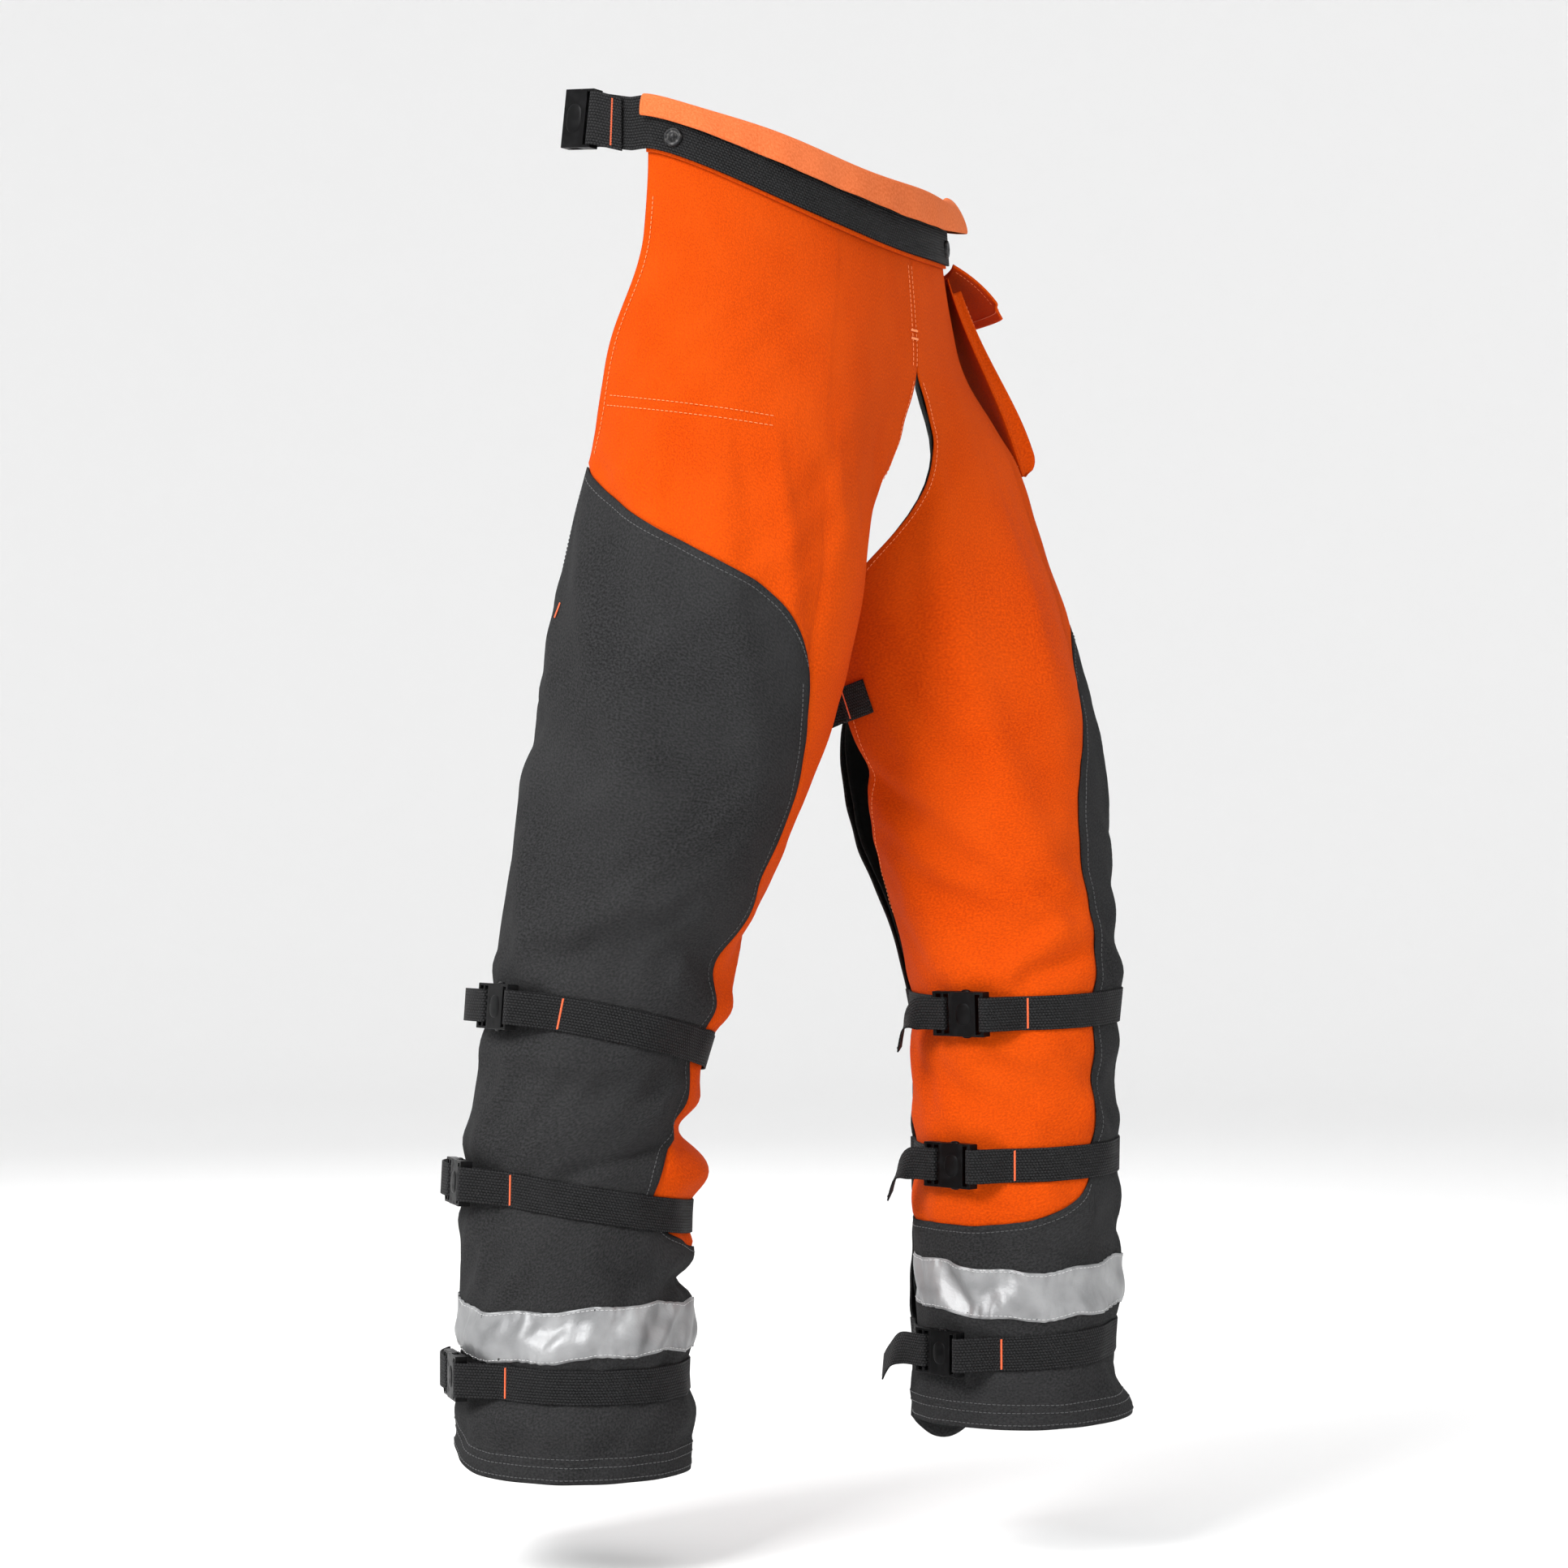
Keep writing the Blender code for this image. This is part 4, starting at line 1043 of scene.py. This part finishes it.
def leg_inside(grid):
    """Padding and lining behind the shell, down to the hem and up to the belt."""
    leg = grid.leg
    kept = (slice(2, None, 3), slice(0, None, 2))
    z, across = grid.z[kept], grid.across[kept[1]]
    share, out = column(leg, grid.wide[kept], z), hollow(grid.out)[kept]
    # The pad ends short of both edges, counted in the CAD grid's columns.
    index = across * CAD_COLUMNS
    padded = ease(0.0, 1.1, index) * ease(17.0, 15.9, index)
    padded = padded * ease(HEM_Z[leg] + 0.035, HEM_Z[leg] + 0.055, z)
    padded = padded * ease(CREASE_Z + 0.005, CREASE_Z - 0.012, z)
    edge = ease(0.0, 0.6, index) * ease(CAD_COLUMNS, 18.4, index)
    depth = EDGE_DEPTH + CLOTH_DEPTH * edge + PAD_DEPTH * padded
    depth += QUILT_DEPTH * padded * np.cos(z * math.tau / 0.060) * np.cos(index * math.tau / 3.0)
    lining = cloth(leg, share, z, out - depth)
    lining_obj = grid_object(f"{leg}_lining_cloth", lining, LOOKS["lining"], 0.0010, SIDES[leg])
    first, last = np.searchsorted(index, 2.0), np.searchsorted(index, 15.0)
    rows = (z[:, 0] > HEM_Z[leg] + 0.045) & (z.max(axis=1) < CREASE_Z - 0.004)
    inner = cloth(leg, share, z, out - PAD_START)[rows][:, first:last]
    pad_obj = grid_object(f"{leg}_pad_layers", inner, LOOKS["pad"], 0.0040, SIDES[leg])
    return lining_obj, pad_obj


def rear_tack(grid):
    """Small bar tack where the side seam's stitching ends on the thigh."""
    heights = np.array([REAR_TACK_Z, REAR_TACK_Z - 0.012])
    near, normal = grid.read(np.full(2, REAR_TACK_SHARE), heights, 0.0005)
    beside, _ = grid.read(np.full(2, REAR_TACK_SHARE - 0.006), heights, 0.0005)
    tack("right_rear_tack", near, beside, normal[0], "right_leg")


def build_leg(leg):
    grid = LegGrid(leg)
    settle(grid)
    orange, grey = leg_shells(grid)
    covered = (f"{leg}_{part}" for part in ("hip_panel", "hip_fold", "front_panel"))
    install(orange, "orange_cloth", None, *covered)
    install(grey, "grey_cloth", None, f"{leg}_outer_panel")
    lining, pad = leg_inside(grid)
    install(lining, "lining_cloth", None, f"{leg}_lining")
    install(pad, "pad_fibre", None, f"{leg}_protection_pad")
    threads = leg_stitching(grid)
    for piece in (orange, grey, lining, pad, *threads):
        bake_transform(piece)
    if leg == "right":
        rear_tack(grid)
    band, band_thread = leg_band(grid)
    install(band, "silver_band", f"{leg}_leg", f"{leg}_reflective_band")
    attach(band_thread, f"{leg}_leg")
    return grid


# ---- webbing ----


def frame_at(origin, along, outward):
    """Matrix with x along the strap and z outwards."""
    x = Vector(along).normalized()
    y = Vector(outward).cross(x).normalized()
    turn = Matrix((x, y, x.cross(y))).transposed().to_4x4()
    return Matrix.Translation(Vector(origin)) @ turn


def strap_room(leg, angle, z):
    """Extra room where a strap passes over the outer flap and its edge."""
    local = (SIDES[leg] * angle) % math.tau
    beyond = 1 - ease(FLAP_OVER[leg] + 0.02, FLAP_OVER[leg] + 0.30, local)
    return (lap(np.minimum(local, FLAP_OVER[leg]), z) + 0.0010) * beyond


def buckle_frame(leg, angle, z, out):
    """Frame of a leg buckle, as in the CAD: the female half lies towards +x."""
    out = out + strap_room(leg, angle, z)
    step = 0.01
    rise = on_leg(leg, angle, z + step, out) - on_leg(leg, angle, z - step, out)
    along = on_leg(leg, angle + step, z, out) - on_leg(leg, angle - step, z, out)
    return frame_at(on_leg(leg, angle, z, out), along, np.cross(along, rise))


def in_frame(spot, x, z, width):
    return np.array([spot @ Vector((x, k * width, z)) for k in (-0.5, 0.5)])


LOOP_END = (SOCKET_LENGTH + 0.003, BUCKLE_DEPTH / 2 + 0.0006)


def socket_loop(spot, width):
    """Webbing over the female half's bar, down through its slot and back under it."""
    slot_x, (end_x, over) = SOCKET_LENGTH - BAR - 0.0009, LOOP_END
    route = [(end_x, over), (slot_x, over), (slot_x, -over), (end_x, -over)]
    return [in_frame(spot, x, z, width) for x, z in route]


def rounded(stations, radius=0.0016):
    """Cuts each corner of a ribbon's stations, then softens what is left."""
    made = [stations[0]]
    for before, here, after in zip(stations, stations[1:], stations[2:]):
        for other in (before, after):
            gap = max(np.linalg.norm(other - here, axis=1).mean(), 1e-6)
            made.append(here + (other - here) * min(radius / gap, 0.4))
    made.append(stations[-1])
    for _ in range(2):
        cut = [made[0]]
        for a, b in zip(made, made[1:]):
            cut += [a * 0.75 + b * 0.25, a * 0.25 + b * 0.75]
        made = cut + [made[-1]]
    return np.array(made)


def bevel(obj, width, degrees):
    edge = obj.modifiers.new("edges", "BEVEL")
    edge.width, edge.segments = width, 2
    edge.limit_method, edge.angle_limit = "ANGLE", math.radians(degrees)


def ribbon(name, stations, thickness=0.0015, across=5):
    """Webbing through stations, each the two points on its edges, as (n, 2, 3)."""
    stations = np.asarray(stations, float)
    ups = np.linspace(0, 1, across)[:, None, None]
    points = mix(stations[None, :, 0], stations[None, :, 1], ups)
    steps = np.linalg.norm(np.diff(points[across // 2], axis=0), axis=1)
    run = np.concatenate([[0], np.cumsum(steps)])
    width = np.linalg.norm(stations[:, 1] - stations[:, 0], axis=1).mean()
    uv = np.stack(np.meshgrid(run, np.linspace(0, width, across)), axis=-1)
    obj = grid_object(name, points, LOOKS["webbing"], thickness, 1, None, uv, offset=0.0)
    bevel(obj, 0.0003, 60)
    return obj


class Wrap:
    """Reads how far out a leg's finished cloth stands at a world angle and height."""

    def __init__(self, grid):
        self.leg = grid.leg
        points = grid.points.reshape(-1, 3)
        rows, columns = grid.points.shape[:2]
        r, c = np.meshgrid(np.arange(rows - 1), np.arange(columns - 1), indexing="ij")
        corner = (r * columns + c).ravel()
        faces = np.stack([corner, corner + 1, corner + columns + 1, corner + columns], axis=1)
        self.tree = BVHTree.FromPolygons(points.tolist(), faces.tolist())

    def out(self, angle, z):
        x, front = leg_centre(self.leg, z)
        centre = Vector((x, -float(front), z))
        plain = Vector(on_leg(self.leg, angle, z))
        away = (plain - centre).normalized()
        hit = self.tree.ray_cast(centre + away * 0.25, -away, 0.22)[0]
        return -0.002 if hit is None else (hit - centre).length - (plain - centre).length

    def line(self, angles, heights, lift=0.0011):
        """Both edges of a strap on the cloth. It bridges small hollows."""
        edges_out = []
        for k in (-0.5, 0.0, 0.5):
            raw = [self.out(a, z + k * STRAP_WIDTH) for a, z in zip(angles, heights)]
            edges_out.append(np.array(raw))
        raw = np.max(edges_out, axis=0) * 0.5 + np.mean(edges_out, axis=0) * 0.5
        kernel = np.hanning(13)
        kernel /= kernel.sum()
        soft = np.convolve(np.pad(raw, 6, mode="edge"), kernel, mode="valid")
        made = []
        for k, edge in ((-0.5, edges_out[0]), (0.5, edges_out[2])):
            out = np.maximum(mix(soft, edge, 0.3), edge) + lift
            made.append(on_leg(self.leg, angles, heights + k * STRAP_WIDTH, out))
        return np.stack(made, axis=1)


def tack(name, station_a, station_b, outward, body, thread="red_thread"):
    """Bar tack across a ribbon: short stitches side by side, from edge to edge."""
    low, high = station_a
    along = (station_b.mean(axis=0) - station_a.mean(axis=0))
    along /= max(np.linalg.norm(along), 1e-9)
    shares = np.linspace(0.07, 0.93, 30)
    centre = np.array([mix(low, high, s) for s in shares]) + outward * 0.0006
    half = along * 0.0008
    tilt = (high - low) / np.linalg.norm(high - low) * 0.0003
    normals = np.repeat(outward[None], len(centre), axis=0)
    ends = (centre - half - tilt, centre + half + tilt)
    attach(stitch_object(name, *ends, normals, LOOKS[thread], 0.00085), body)


def ribbon_normal(stations, k):
    step = stations[k + 1].mean(axis=0) - stations[k].mean(axis=0)
    across = stations[k][1] - stations[k][0]
    normal = np.cross(step, across)
    return normal / np.linalg.norm(normal)


def tail_stations(spot, start, width, hang):
    """Free end of a strap. It bends in round the leg or, as it hangs, turns on edge and drops."""
    count, reach = TAIL_STEPS, TAIL_REACH
    middle = np.array([start[0], 0.0, start[1]])
    made = []
    for k in range(1, count + 1):
        far = k / count
        drop = TAIL_DROP * hang * float(ease(0.10, 0.75, far))
        twist = TAIL_TWIST * hang * float(ease(0.05, 0.65, far))
        inward = TAIL_CURL * (1 - hang) * far - 0.25 * hang * math.sin(math.pi * far)
        along = Vector((-math.cos(drop) * math.cos(inward), -math.sin(drop), -math.sin(inward)))
        across = Vector((-math.sin(drop), math.cos(drop), 0)) * math.cos(twist)
        across += Vector((0, 0, -math.sin(twist)))
        across = (across - along * across.dot(along) / along.length_squared).normalized()
        middle = middle + np.array(along) * reach / count
        sides = [across * (side * width / 2) for side in (-1, 1)]
        made.append(np.array([spot @ (Vector(middle) + side) for side in sides]))
    return made


def plug_tail(name, spot, width, hang, body):
    """Webbing through the male half's bars: in from below, over the middle bar, and free."""
    over = BUCKLE_DEPTH / 2 - 0.0004
    slot_x, start_x, end_x = -BAR - 0.0036, -PLUG_LENGTH + 0.001, -PLUG_LENGTH - 0.003
    route = [(start_x, -over), (slot_x, -over), (slot_x, over), (end_x, over)]
    stations = [in_frame(spot, x, z, width) for x, z in route]
    stations += tail_stations(spot, (end_x, over), width, hang)
    obj = ribbon(name, rounded(stations), 0.0012)
    install(obj, "black_webbing", body, body.replace("_plug", "_tail"))
    hem = np.array([mix(stations[-1], stations[-2], share) for share in (0.8, 0.2)])
    normal = ribbon_normal(hem, 0)
    normal = normal * np.sign(normal @ (spot.to_3x3() @ Vector((0, 0, 1))))
    tack(f"{name}_hem", *hem, normal, body, "grey_thread")


def leg_strap(name, leg, buckle, runs, wrap):
    degrees, near, far = buckle
    start = math.radians(degrees)
    spot = buckle_frame(leg, start, near, BUCKLE_LIFT)
    body = f"{leg}_leg"
    for label, (first, last) in zip(("webbing", "anchor"), runs):
        turns = np.linspace(first, last, max(round((last - first) / 0.05), 6) + 1)
        laid = wrap.line(start + turns, strap_z(turns, near, far))
        stations = laid
        if label == "webbing":
            under = wrap.line((start + turns)[:2], strap_z(turns, near, far)[:2], 0.0003)[1]
            loop = rounded([under, *socket_loop(spot, STRAP_WIDTH), laid[0], laid[1]])
            stations = np.concatenate([loop, laid[2:]])
        obj = ribbon(f"{name}_{label}_strap", stations)
        install(obj, "black_webbing", body, f"{name}_{label}")
        if label == "webbing":
            normal = ribbon_normal(laid, 1)
            x, front = leg_centre(leg, near)
            normal *= np.sign(normal @ (laid[1].mean(axis=0) - np.array([x, -front, near])))
            tack(f"{name}_tack", laid[2], laid[3], normal, body)
    hang = TAIL_HANG.get(name, 0.0)
    plug_tail(f"{name}_tail_end", spot, STRAP_WIDTH - 0.001, hang, f"{name}_plug")
    buckle_details(name, spot, body)


# ---- buckles ----

LENS_POWER, LOBE_X = 2.6, 0.0105


def buckles():
    """CAD buckle halves with rounded edges and their own finish. Their shape is right as it is."""
    for name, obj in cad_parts.items():
        if not name.endswith(("_socket", "_plug")):
            continue
        obj.data.materials.clear()
        obj.data.materials.append(LOOKS["plastic"])
        obj.modifiers.new("weld", "WELD").merge_threshold = 0.00002
        bevel(obj, 0.0005, 35)
        for polygon in obj.data.polygons:
            polygon.use_smooth = False


def lens(name, spot, centre, radii, body):
    """Flattened round boss of plastic, a superellipsoid from a sphere."""
    shape = bmesh.new()
    bmesh.ops.create_uvsphere(shape, u_segments=28, v_segments=14, radius=1.0)
    for vert in shape.verts:
        size = sum(abs(v) ** LENS_POWER for v in vert.co) ** (1 / LENS_POWER)
        vert.co /= size
        vert.co = [v * radius for v, radius in zip(vert.co, radii)]
    obj = smooth_object(name, shape, LOOKS["plastic"])
    obj.matrix_world = spot @ Matrix.Translation(centre)
    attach(obj, body)


def buckle_details(name, spot, body):
    """Raised thumb pad, grip ribs and the two squeeze lobes of a side-release buckle."""
    half, depth, plug = BUCKLE_WIDTH / 2, BUCKLE_DEPTH / 2, f"{name}_plug"
    pad_x, rib_x = LOBE_X, -PLUG_LENGTH + 0.0014
    pad, lobe = (0.0068, half * 0.50, 0.0011), (0.0040, 0.0022, depth - 0.0026)
    lens(f"{name}_thumb_pad", spot, (pad_x, 0, depth - 0.0002), pad, body)
    for side, label in ((-1, "lower"), (1, "upper")):
        lens(f"{name}_{label}_lobe", spot, (pad_x, side * (half - 0.0007), 0), lobe, plug)
    rib = (0.0009, half * 0.92, 0.0006)
    lens(f"{name}_grip_rib", spot, (rib_x, 0, depth - 0.0010), rib, plug)


# ---- waist ----


def belt_frame(side):
    hip = on_waist(side * WAIST_END, 0.0, BELT_OUT)
    z = float(belt_z(side * WAIST_END)) + BELT_WIDTH / 2 + 0.006
    origin = (hip[0], hip[1] + BELT_REACH, z)
    inwards, up = BELT_END_RUN
    return frame_at(origin, (-side * inwards, 1.0, up), (side, 0, 0))


def waist_belt():
    right, left = belt_frame(-1), belt_frame(1)
    turned = Matrix.Rotation(math.pi, 4, "Z")
    socket_spot = right @ Matrix.Translation((SOCKET_LENGTH + 0.008, 0, 0)) @ turned
    angles = np.linspace(-WAIST_END, WAIST_END, 150)
    sway = 0.0006 * np.sin(angles * 9) * np.cos(angles)
    low = on_waist(angles, belt_z(angles), BELT_OUT - 0.0008 + sway)
    high = on_waist(angles, belt_z(angles) + BELT_WIDTH, BELT_OUT - 0.0008)
    round_front = np.stack([low, high], axis=1)
    base = belt_z(-WAIST_END)
    sewn_end = [on_waist(-WAIST_END - 0.05, base + k, BELT_OUT + 0.002) for k in (0, BELT_WIDTH)]
    sewn_end = np.array(sewn_end)
    slot = socket_loop(socket_spot, BELT_WIDTH)
    loop = rounded([sewn_end, *slot, round_front[0], round_front[3]])
    end = in_frame(left, -0.004, -0.0012, BELT_WIDTH)
    stations = np.concatenate([loop, round_front[4:], end[None]])
    obj = ribbon("belt_webbing", stations, thickness=0.0018, across=7)
    install(obj, "black_webbing", "waist", "waist_belt")
    outward = np.array(socket_spot.to_3x3() @ Vector((0, 0, 1)))
    tack("belt_tack", *(mix(sewn_end, slot[0], share) for share in (0.35, 0.45)), outward, "waist")
    plug_spot = left @ Matrix.Translation((PLUG_LENGTH + 0.002, 0, 0.0052))
    plug_tail("waist_tail_end", plug_spot, BELT_WIDTH - 0.002, 0.0, "waist_plug")
    pad = (0.0072, WAIST_BUCKLE_SCALE * BUCKLE_WIDTH / 2 * 0.5, 0.0011)
    lens("waist_thumb_pad", socket_spot, (LOBE_X, 0, BUCKLE_DEPTH / 2 - 0.0002), pad, "waist")


def waist_cloth():
    """Waistband behind the belt, and the fold that turns down over the belt's top, in a lighter copy
    of the orange cloth: painted light on the fold's top.
    """
    angles = np.linspace(-CLOTH_END["right"], CLOTH_END["left"], 170)
    front = frontness(angles)
    base, top, low = belt_z(angles), mix(*BAND_TOP, front), mix(*FOLD_LOW, front)
    ups = np.linspace(0, 1, 9)[:, None]
    points = on_waist(angles[None], base + mix(-0.002, top - 0.001, ups), 0.0026 + 0 * ups)
    band = grid_object("waistband_cloth", points, LOOKS["orange"], 0.0016)
    install(band, "orange_cloth", "waist", "waistband")

    degrees = np.degrees(angles)
    flare = 0.0105 * bell(degrees - 33, 11) + 0.0030 * bell(degrees + 96, 9)
    wave = 0.0006 * np.sin(angles * 14) + 0.0005 * np.sin(angles * 31 + 2)
    crest = top + 0.0006 + 0.0010 * np.sin(angles * 7 + 1) + 0.0055 * bell(degrees - 36, 9)
    profile = (
        (0.0030, crest - 0.010),
        (0.0034, crest - 0.003),
        (0.0044, crest),
        (0.0062, crest + 0.0009),
        (0.0080, crest + 0.0002),
        (0.0088 + flare * 0.3, crest - 0.002),
        (0.0094 + wave + flare * 0.6, mix(crest, low, 0.4)),
        (0.0096 + wave + flare * 0.9, mix(crest, low, 0.75)),
        (0.0096 + wave + flare, low - 0.0006),
        (0.0088 + wave + flare, low - 0.0012),
    )
    points = np.array([on_waist(angles, base + z, out) for out, z in profile])
    fold = grid_object("top_fold_cloth", points, LOOKS["fold"], 0.0011)
    smooth = fold.modifiers.new("smooth", "SUBSURF")
    smooth.levels = smooth.render_levels = 1
    install(fold, "fold_cloth", "waist", "top_fold")
    normals, row = grid_normals(points, 1), 5
    line = mix(points[row], points[row + 1], 0.25) + normals[row] * 0.0003
    threads = [(line, normals[row])]
    thread = stitch_lines("top_fold_stitching", threads, "red_thread", 0.0005, "waist")


def centre_front(grids):
    """Centre-front seam between the hip panels: topstitching and two bar tacks."""
    grid = grids["right"]
    z = np.linspace(CREASE_Z - 0.004, -0.066, 120)
    lines = [grid.read(np.full(120, share), z, THREAD_LIFT) for share in (0.006, 0.030)]
    stitch_lines("centre_stitching", lines, "orange_thread", body="waist")
    for k, height in enumerate((CREASE_Z + 0.022, CREASE_Z + 0.016)):
        sides = [grid.read(np.array([0.0, 0.045]), np.full(2, high), THREAD_LIFT)
                 for high in (height, height - 0.004)]
        (a, normal), (b, _) = sides
        tack(f"centre_tack_{k}", a, b, normal[0], "waist", "orange_thread")


def outwards(angle, radii):
    """Level direction that points away from the waist or the hips."""
    away = Vector((math.sin(angle) / radii[0], -math.cos(angle) / radii[1], 0))
    return away.normalized()


def studs():
    """Domed press studs. Each is turned from a profile of (radius, height)."""
    profile = [(0.0, -0.0012), (0.0066, -0.0012), (0.0070, -0.0004), (0.0070, 0.0005),
               (0.0063, 0.0015), (0.0053, 0.0018), (0.0046, 0.0012), (0.0036, 0.0014),
               (0.0018, 0.0024), (0.0, 0.0027)]
    for name, degrees in STUD_ANGLES.items():
        angle = math.radians(degrees)
        place = on_waist(angle, float(belt_z(angle)) + 0.012, BELT_OUT + 0.0006)
        obj = smooth_object(f"{name}_cap", spun(profile, 36, 1e-6), LOOKS["metal"])
        obj.matrix_world = frame_at(place, (0, 0, 1), outwards(angle, WAIST_RADII))
        install(obj, "stud_metal", "waist", name)


# ---- pocket ----


def pocket_frame():
    outward = outwards(POCKET_ANGLE, HIP_RADII)
    along = Vector((0, 0, 1)).cross(outward)
    spot = frame_at(on_waist(POCKET_ANGLE, max(POCKET_Z), 0.0052), along, outward)
    return spot @ Matrix.Rotation(-POCKET_TILT, 4, "X")


def pocket_bend(x, up):
    """The pocket's top follows the hip's curve, and its bottom hangs flat."""
    return x * x / 0.30 * ease(0.15, 1.0, up)


GUSSET_AT = (0.82, 0.84)
POCKET_LINES = (7, 56, 10, 61)


def pocket():
    """Patch pocket with gusset sides, and its flap standing open."""
    spot = pocket_frame()
    half, tall = POCKET_WIDTH / 2, POCKET_Z[0] - POCKET_Z[1]
    ups = np.linspace(0, 1, 60)
    corners = np.linspace(0, 1, 72)
    points = np.zeros((len(ups), len(corners), 3))
    for r, up in enumerate(ups):
        y = -tall * (1 - up)
        deep = mix(*POCKET_DEPTHS, 1 - up) * mix(1.0, 0.55, up)
        round_bottom = math.sqrt(max(1 - (1 - min(up / 0.10, 1.0)) ** 2, 0.0))
        front = deep * (0.10 + 0.90 * round_bottom)
        for c, share in enumerate(corners):
            turn = np.clip((share - 0.5) * 2, -1, 1)
            x = half * np.sign(turn) * min(abs(turn) / GUSSET_AT[1], 1.0)
            side = ease(1.0, GUSSET_AT[0], abs(turn))
            swell = 0.0024 * math.sin(math.pi * share) * math.sin(math.pi * up)
            swell += 0.0009 * math.sin(9 * share + 6 * up)
            tuck = 0.0016 * math.sin(math.pi * side) * (abs(turn) > GUSSET_AT[0])
            z = 0.0006 + (front + swell) * side - pocket_bend(x, up)
            points[r, c] = spot @ Vector((x - np.sign(turn) * tuck, y, z))
    body = grid_object("pocket_cloth", points, LOOKS["orange"], 0.0014)
    install(body, "orange_cloth", "waist", "pocket")
    normals = grid_normals(points, 1)
    low, high, left, right = POCKET_LINES
    raised = points + normals * 0.0003
    lines = [(raised[r, left:right], normals[r, left:right]) for r in (low, high)]
    lines += [(raised[low:high, c], normals[low:high, c]) for c in (left, right)]
    thread = stitch_lines("pocket_stitching", lines, "orange_thread", body="waist")
    back = [[spot @ Vector((x, -tall * (1 - up), 0.0002 - pocket_bend(x, up)))
             for x in np.linspace(-half, half, 24)] for up in np.linspace(0, 1.08, 28)]
    back_obj = grid_object("pocket_back", np.array(back), LOOKS["orange"], 0.0009)
    install(back_obj, "orange_cloth", "waist")
    pocket_flap(spot, half)


def pocket_flap(spot, half):
    """The flap curls, and follows the hip's curve at its hinge."""
    hinge = spot @ Matrix.Translation((0, *FLAP_HINGE))
    hinge = hinge @ Matrix.Rotation(math.pi / 2 - FLAP_OPEN, 4, "X")
    reach = np.linspace(0, 1, 26)
    wide = np.linspace(-1, 1, 48)
    flap = np.zeros((len(reach), len(wide), 3))
    for r, far in enumerate(reach):
        for c, side in enumerate(wide):
            clip = 0.010 * ease(0.80, 1.0, abs(side)) * ease(0.75, 1.0, far)
            curl = 0.0022 * math.sin(far * 2.9) - 0.0085 * far * far
            curl += 0.0014 * math.sin(side * 2.4 + 1) * far
            bend = pocket_bend(side * half, 1.0) * (1 - 0.6 * far)
            y, z = curl - bend * 0.4, far * (FLAP_LENGTH - clip) - bend * 0.9
            flap[r, c] = hinge @ Vector((side * (half + 0.001), y, z))
    flap_obj = grid_object("pocket_flap_cloth", flap, LOOKS["orange"], 0.0020, -1, offset=0.0)
    install(flap_obj, "orange_cloth", "pocket_flap", "pocket_flap")
    outer = grid_normals(flap, 1)
    for label, sign in (("outer", 1), ("inner", -1)):
        lift = flap + outer * (0.0012 * sign)
        lines = [(lift[22, 3:-3], outer[22, 3:-3] * sign)]
        lines += [(lift[2:22, c], outer[2:22, c] * sign) for c in (3, -4)]
        name = f"flap_{label}_stitching"
        stitch_lines(name, lines, "orange_thread", body="pocket_flap")


# ---- everything ----


def main():
    camera()
    make_looks()
    stage()
    for name, (near, left, high, size, watts) in LIGHTS.items():
        place = TO_CAMERA * near + CAMERA_LEFT * left + Vector((0, 0, high))
        softbox(name, place, size, watts)
    grids = {leg: build_leg(leg) for leg in SIDES}
    for leg, grid in grids.items():
        wrap = Wrap(grid)
        for number, buckle in enumerate(CALF_STRAPS[leg], 1):
            leg_strap(f"{leg}_calf_{number}", leg, buckle, CALF_RUNS, wrap)
        leg_strap(f"{leg}_thigh", leg, THIGH_STRAPS[leg], THIGH_RUNS, wrap)
    waist_belt()
    waist_cloth()
    centre_front(grids)
    studs()
    pocket()
    buckles()


main()
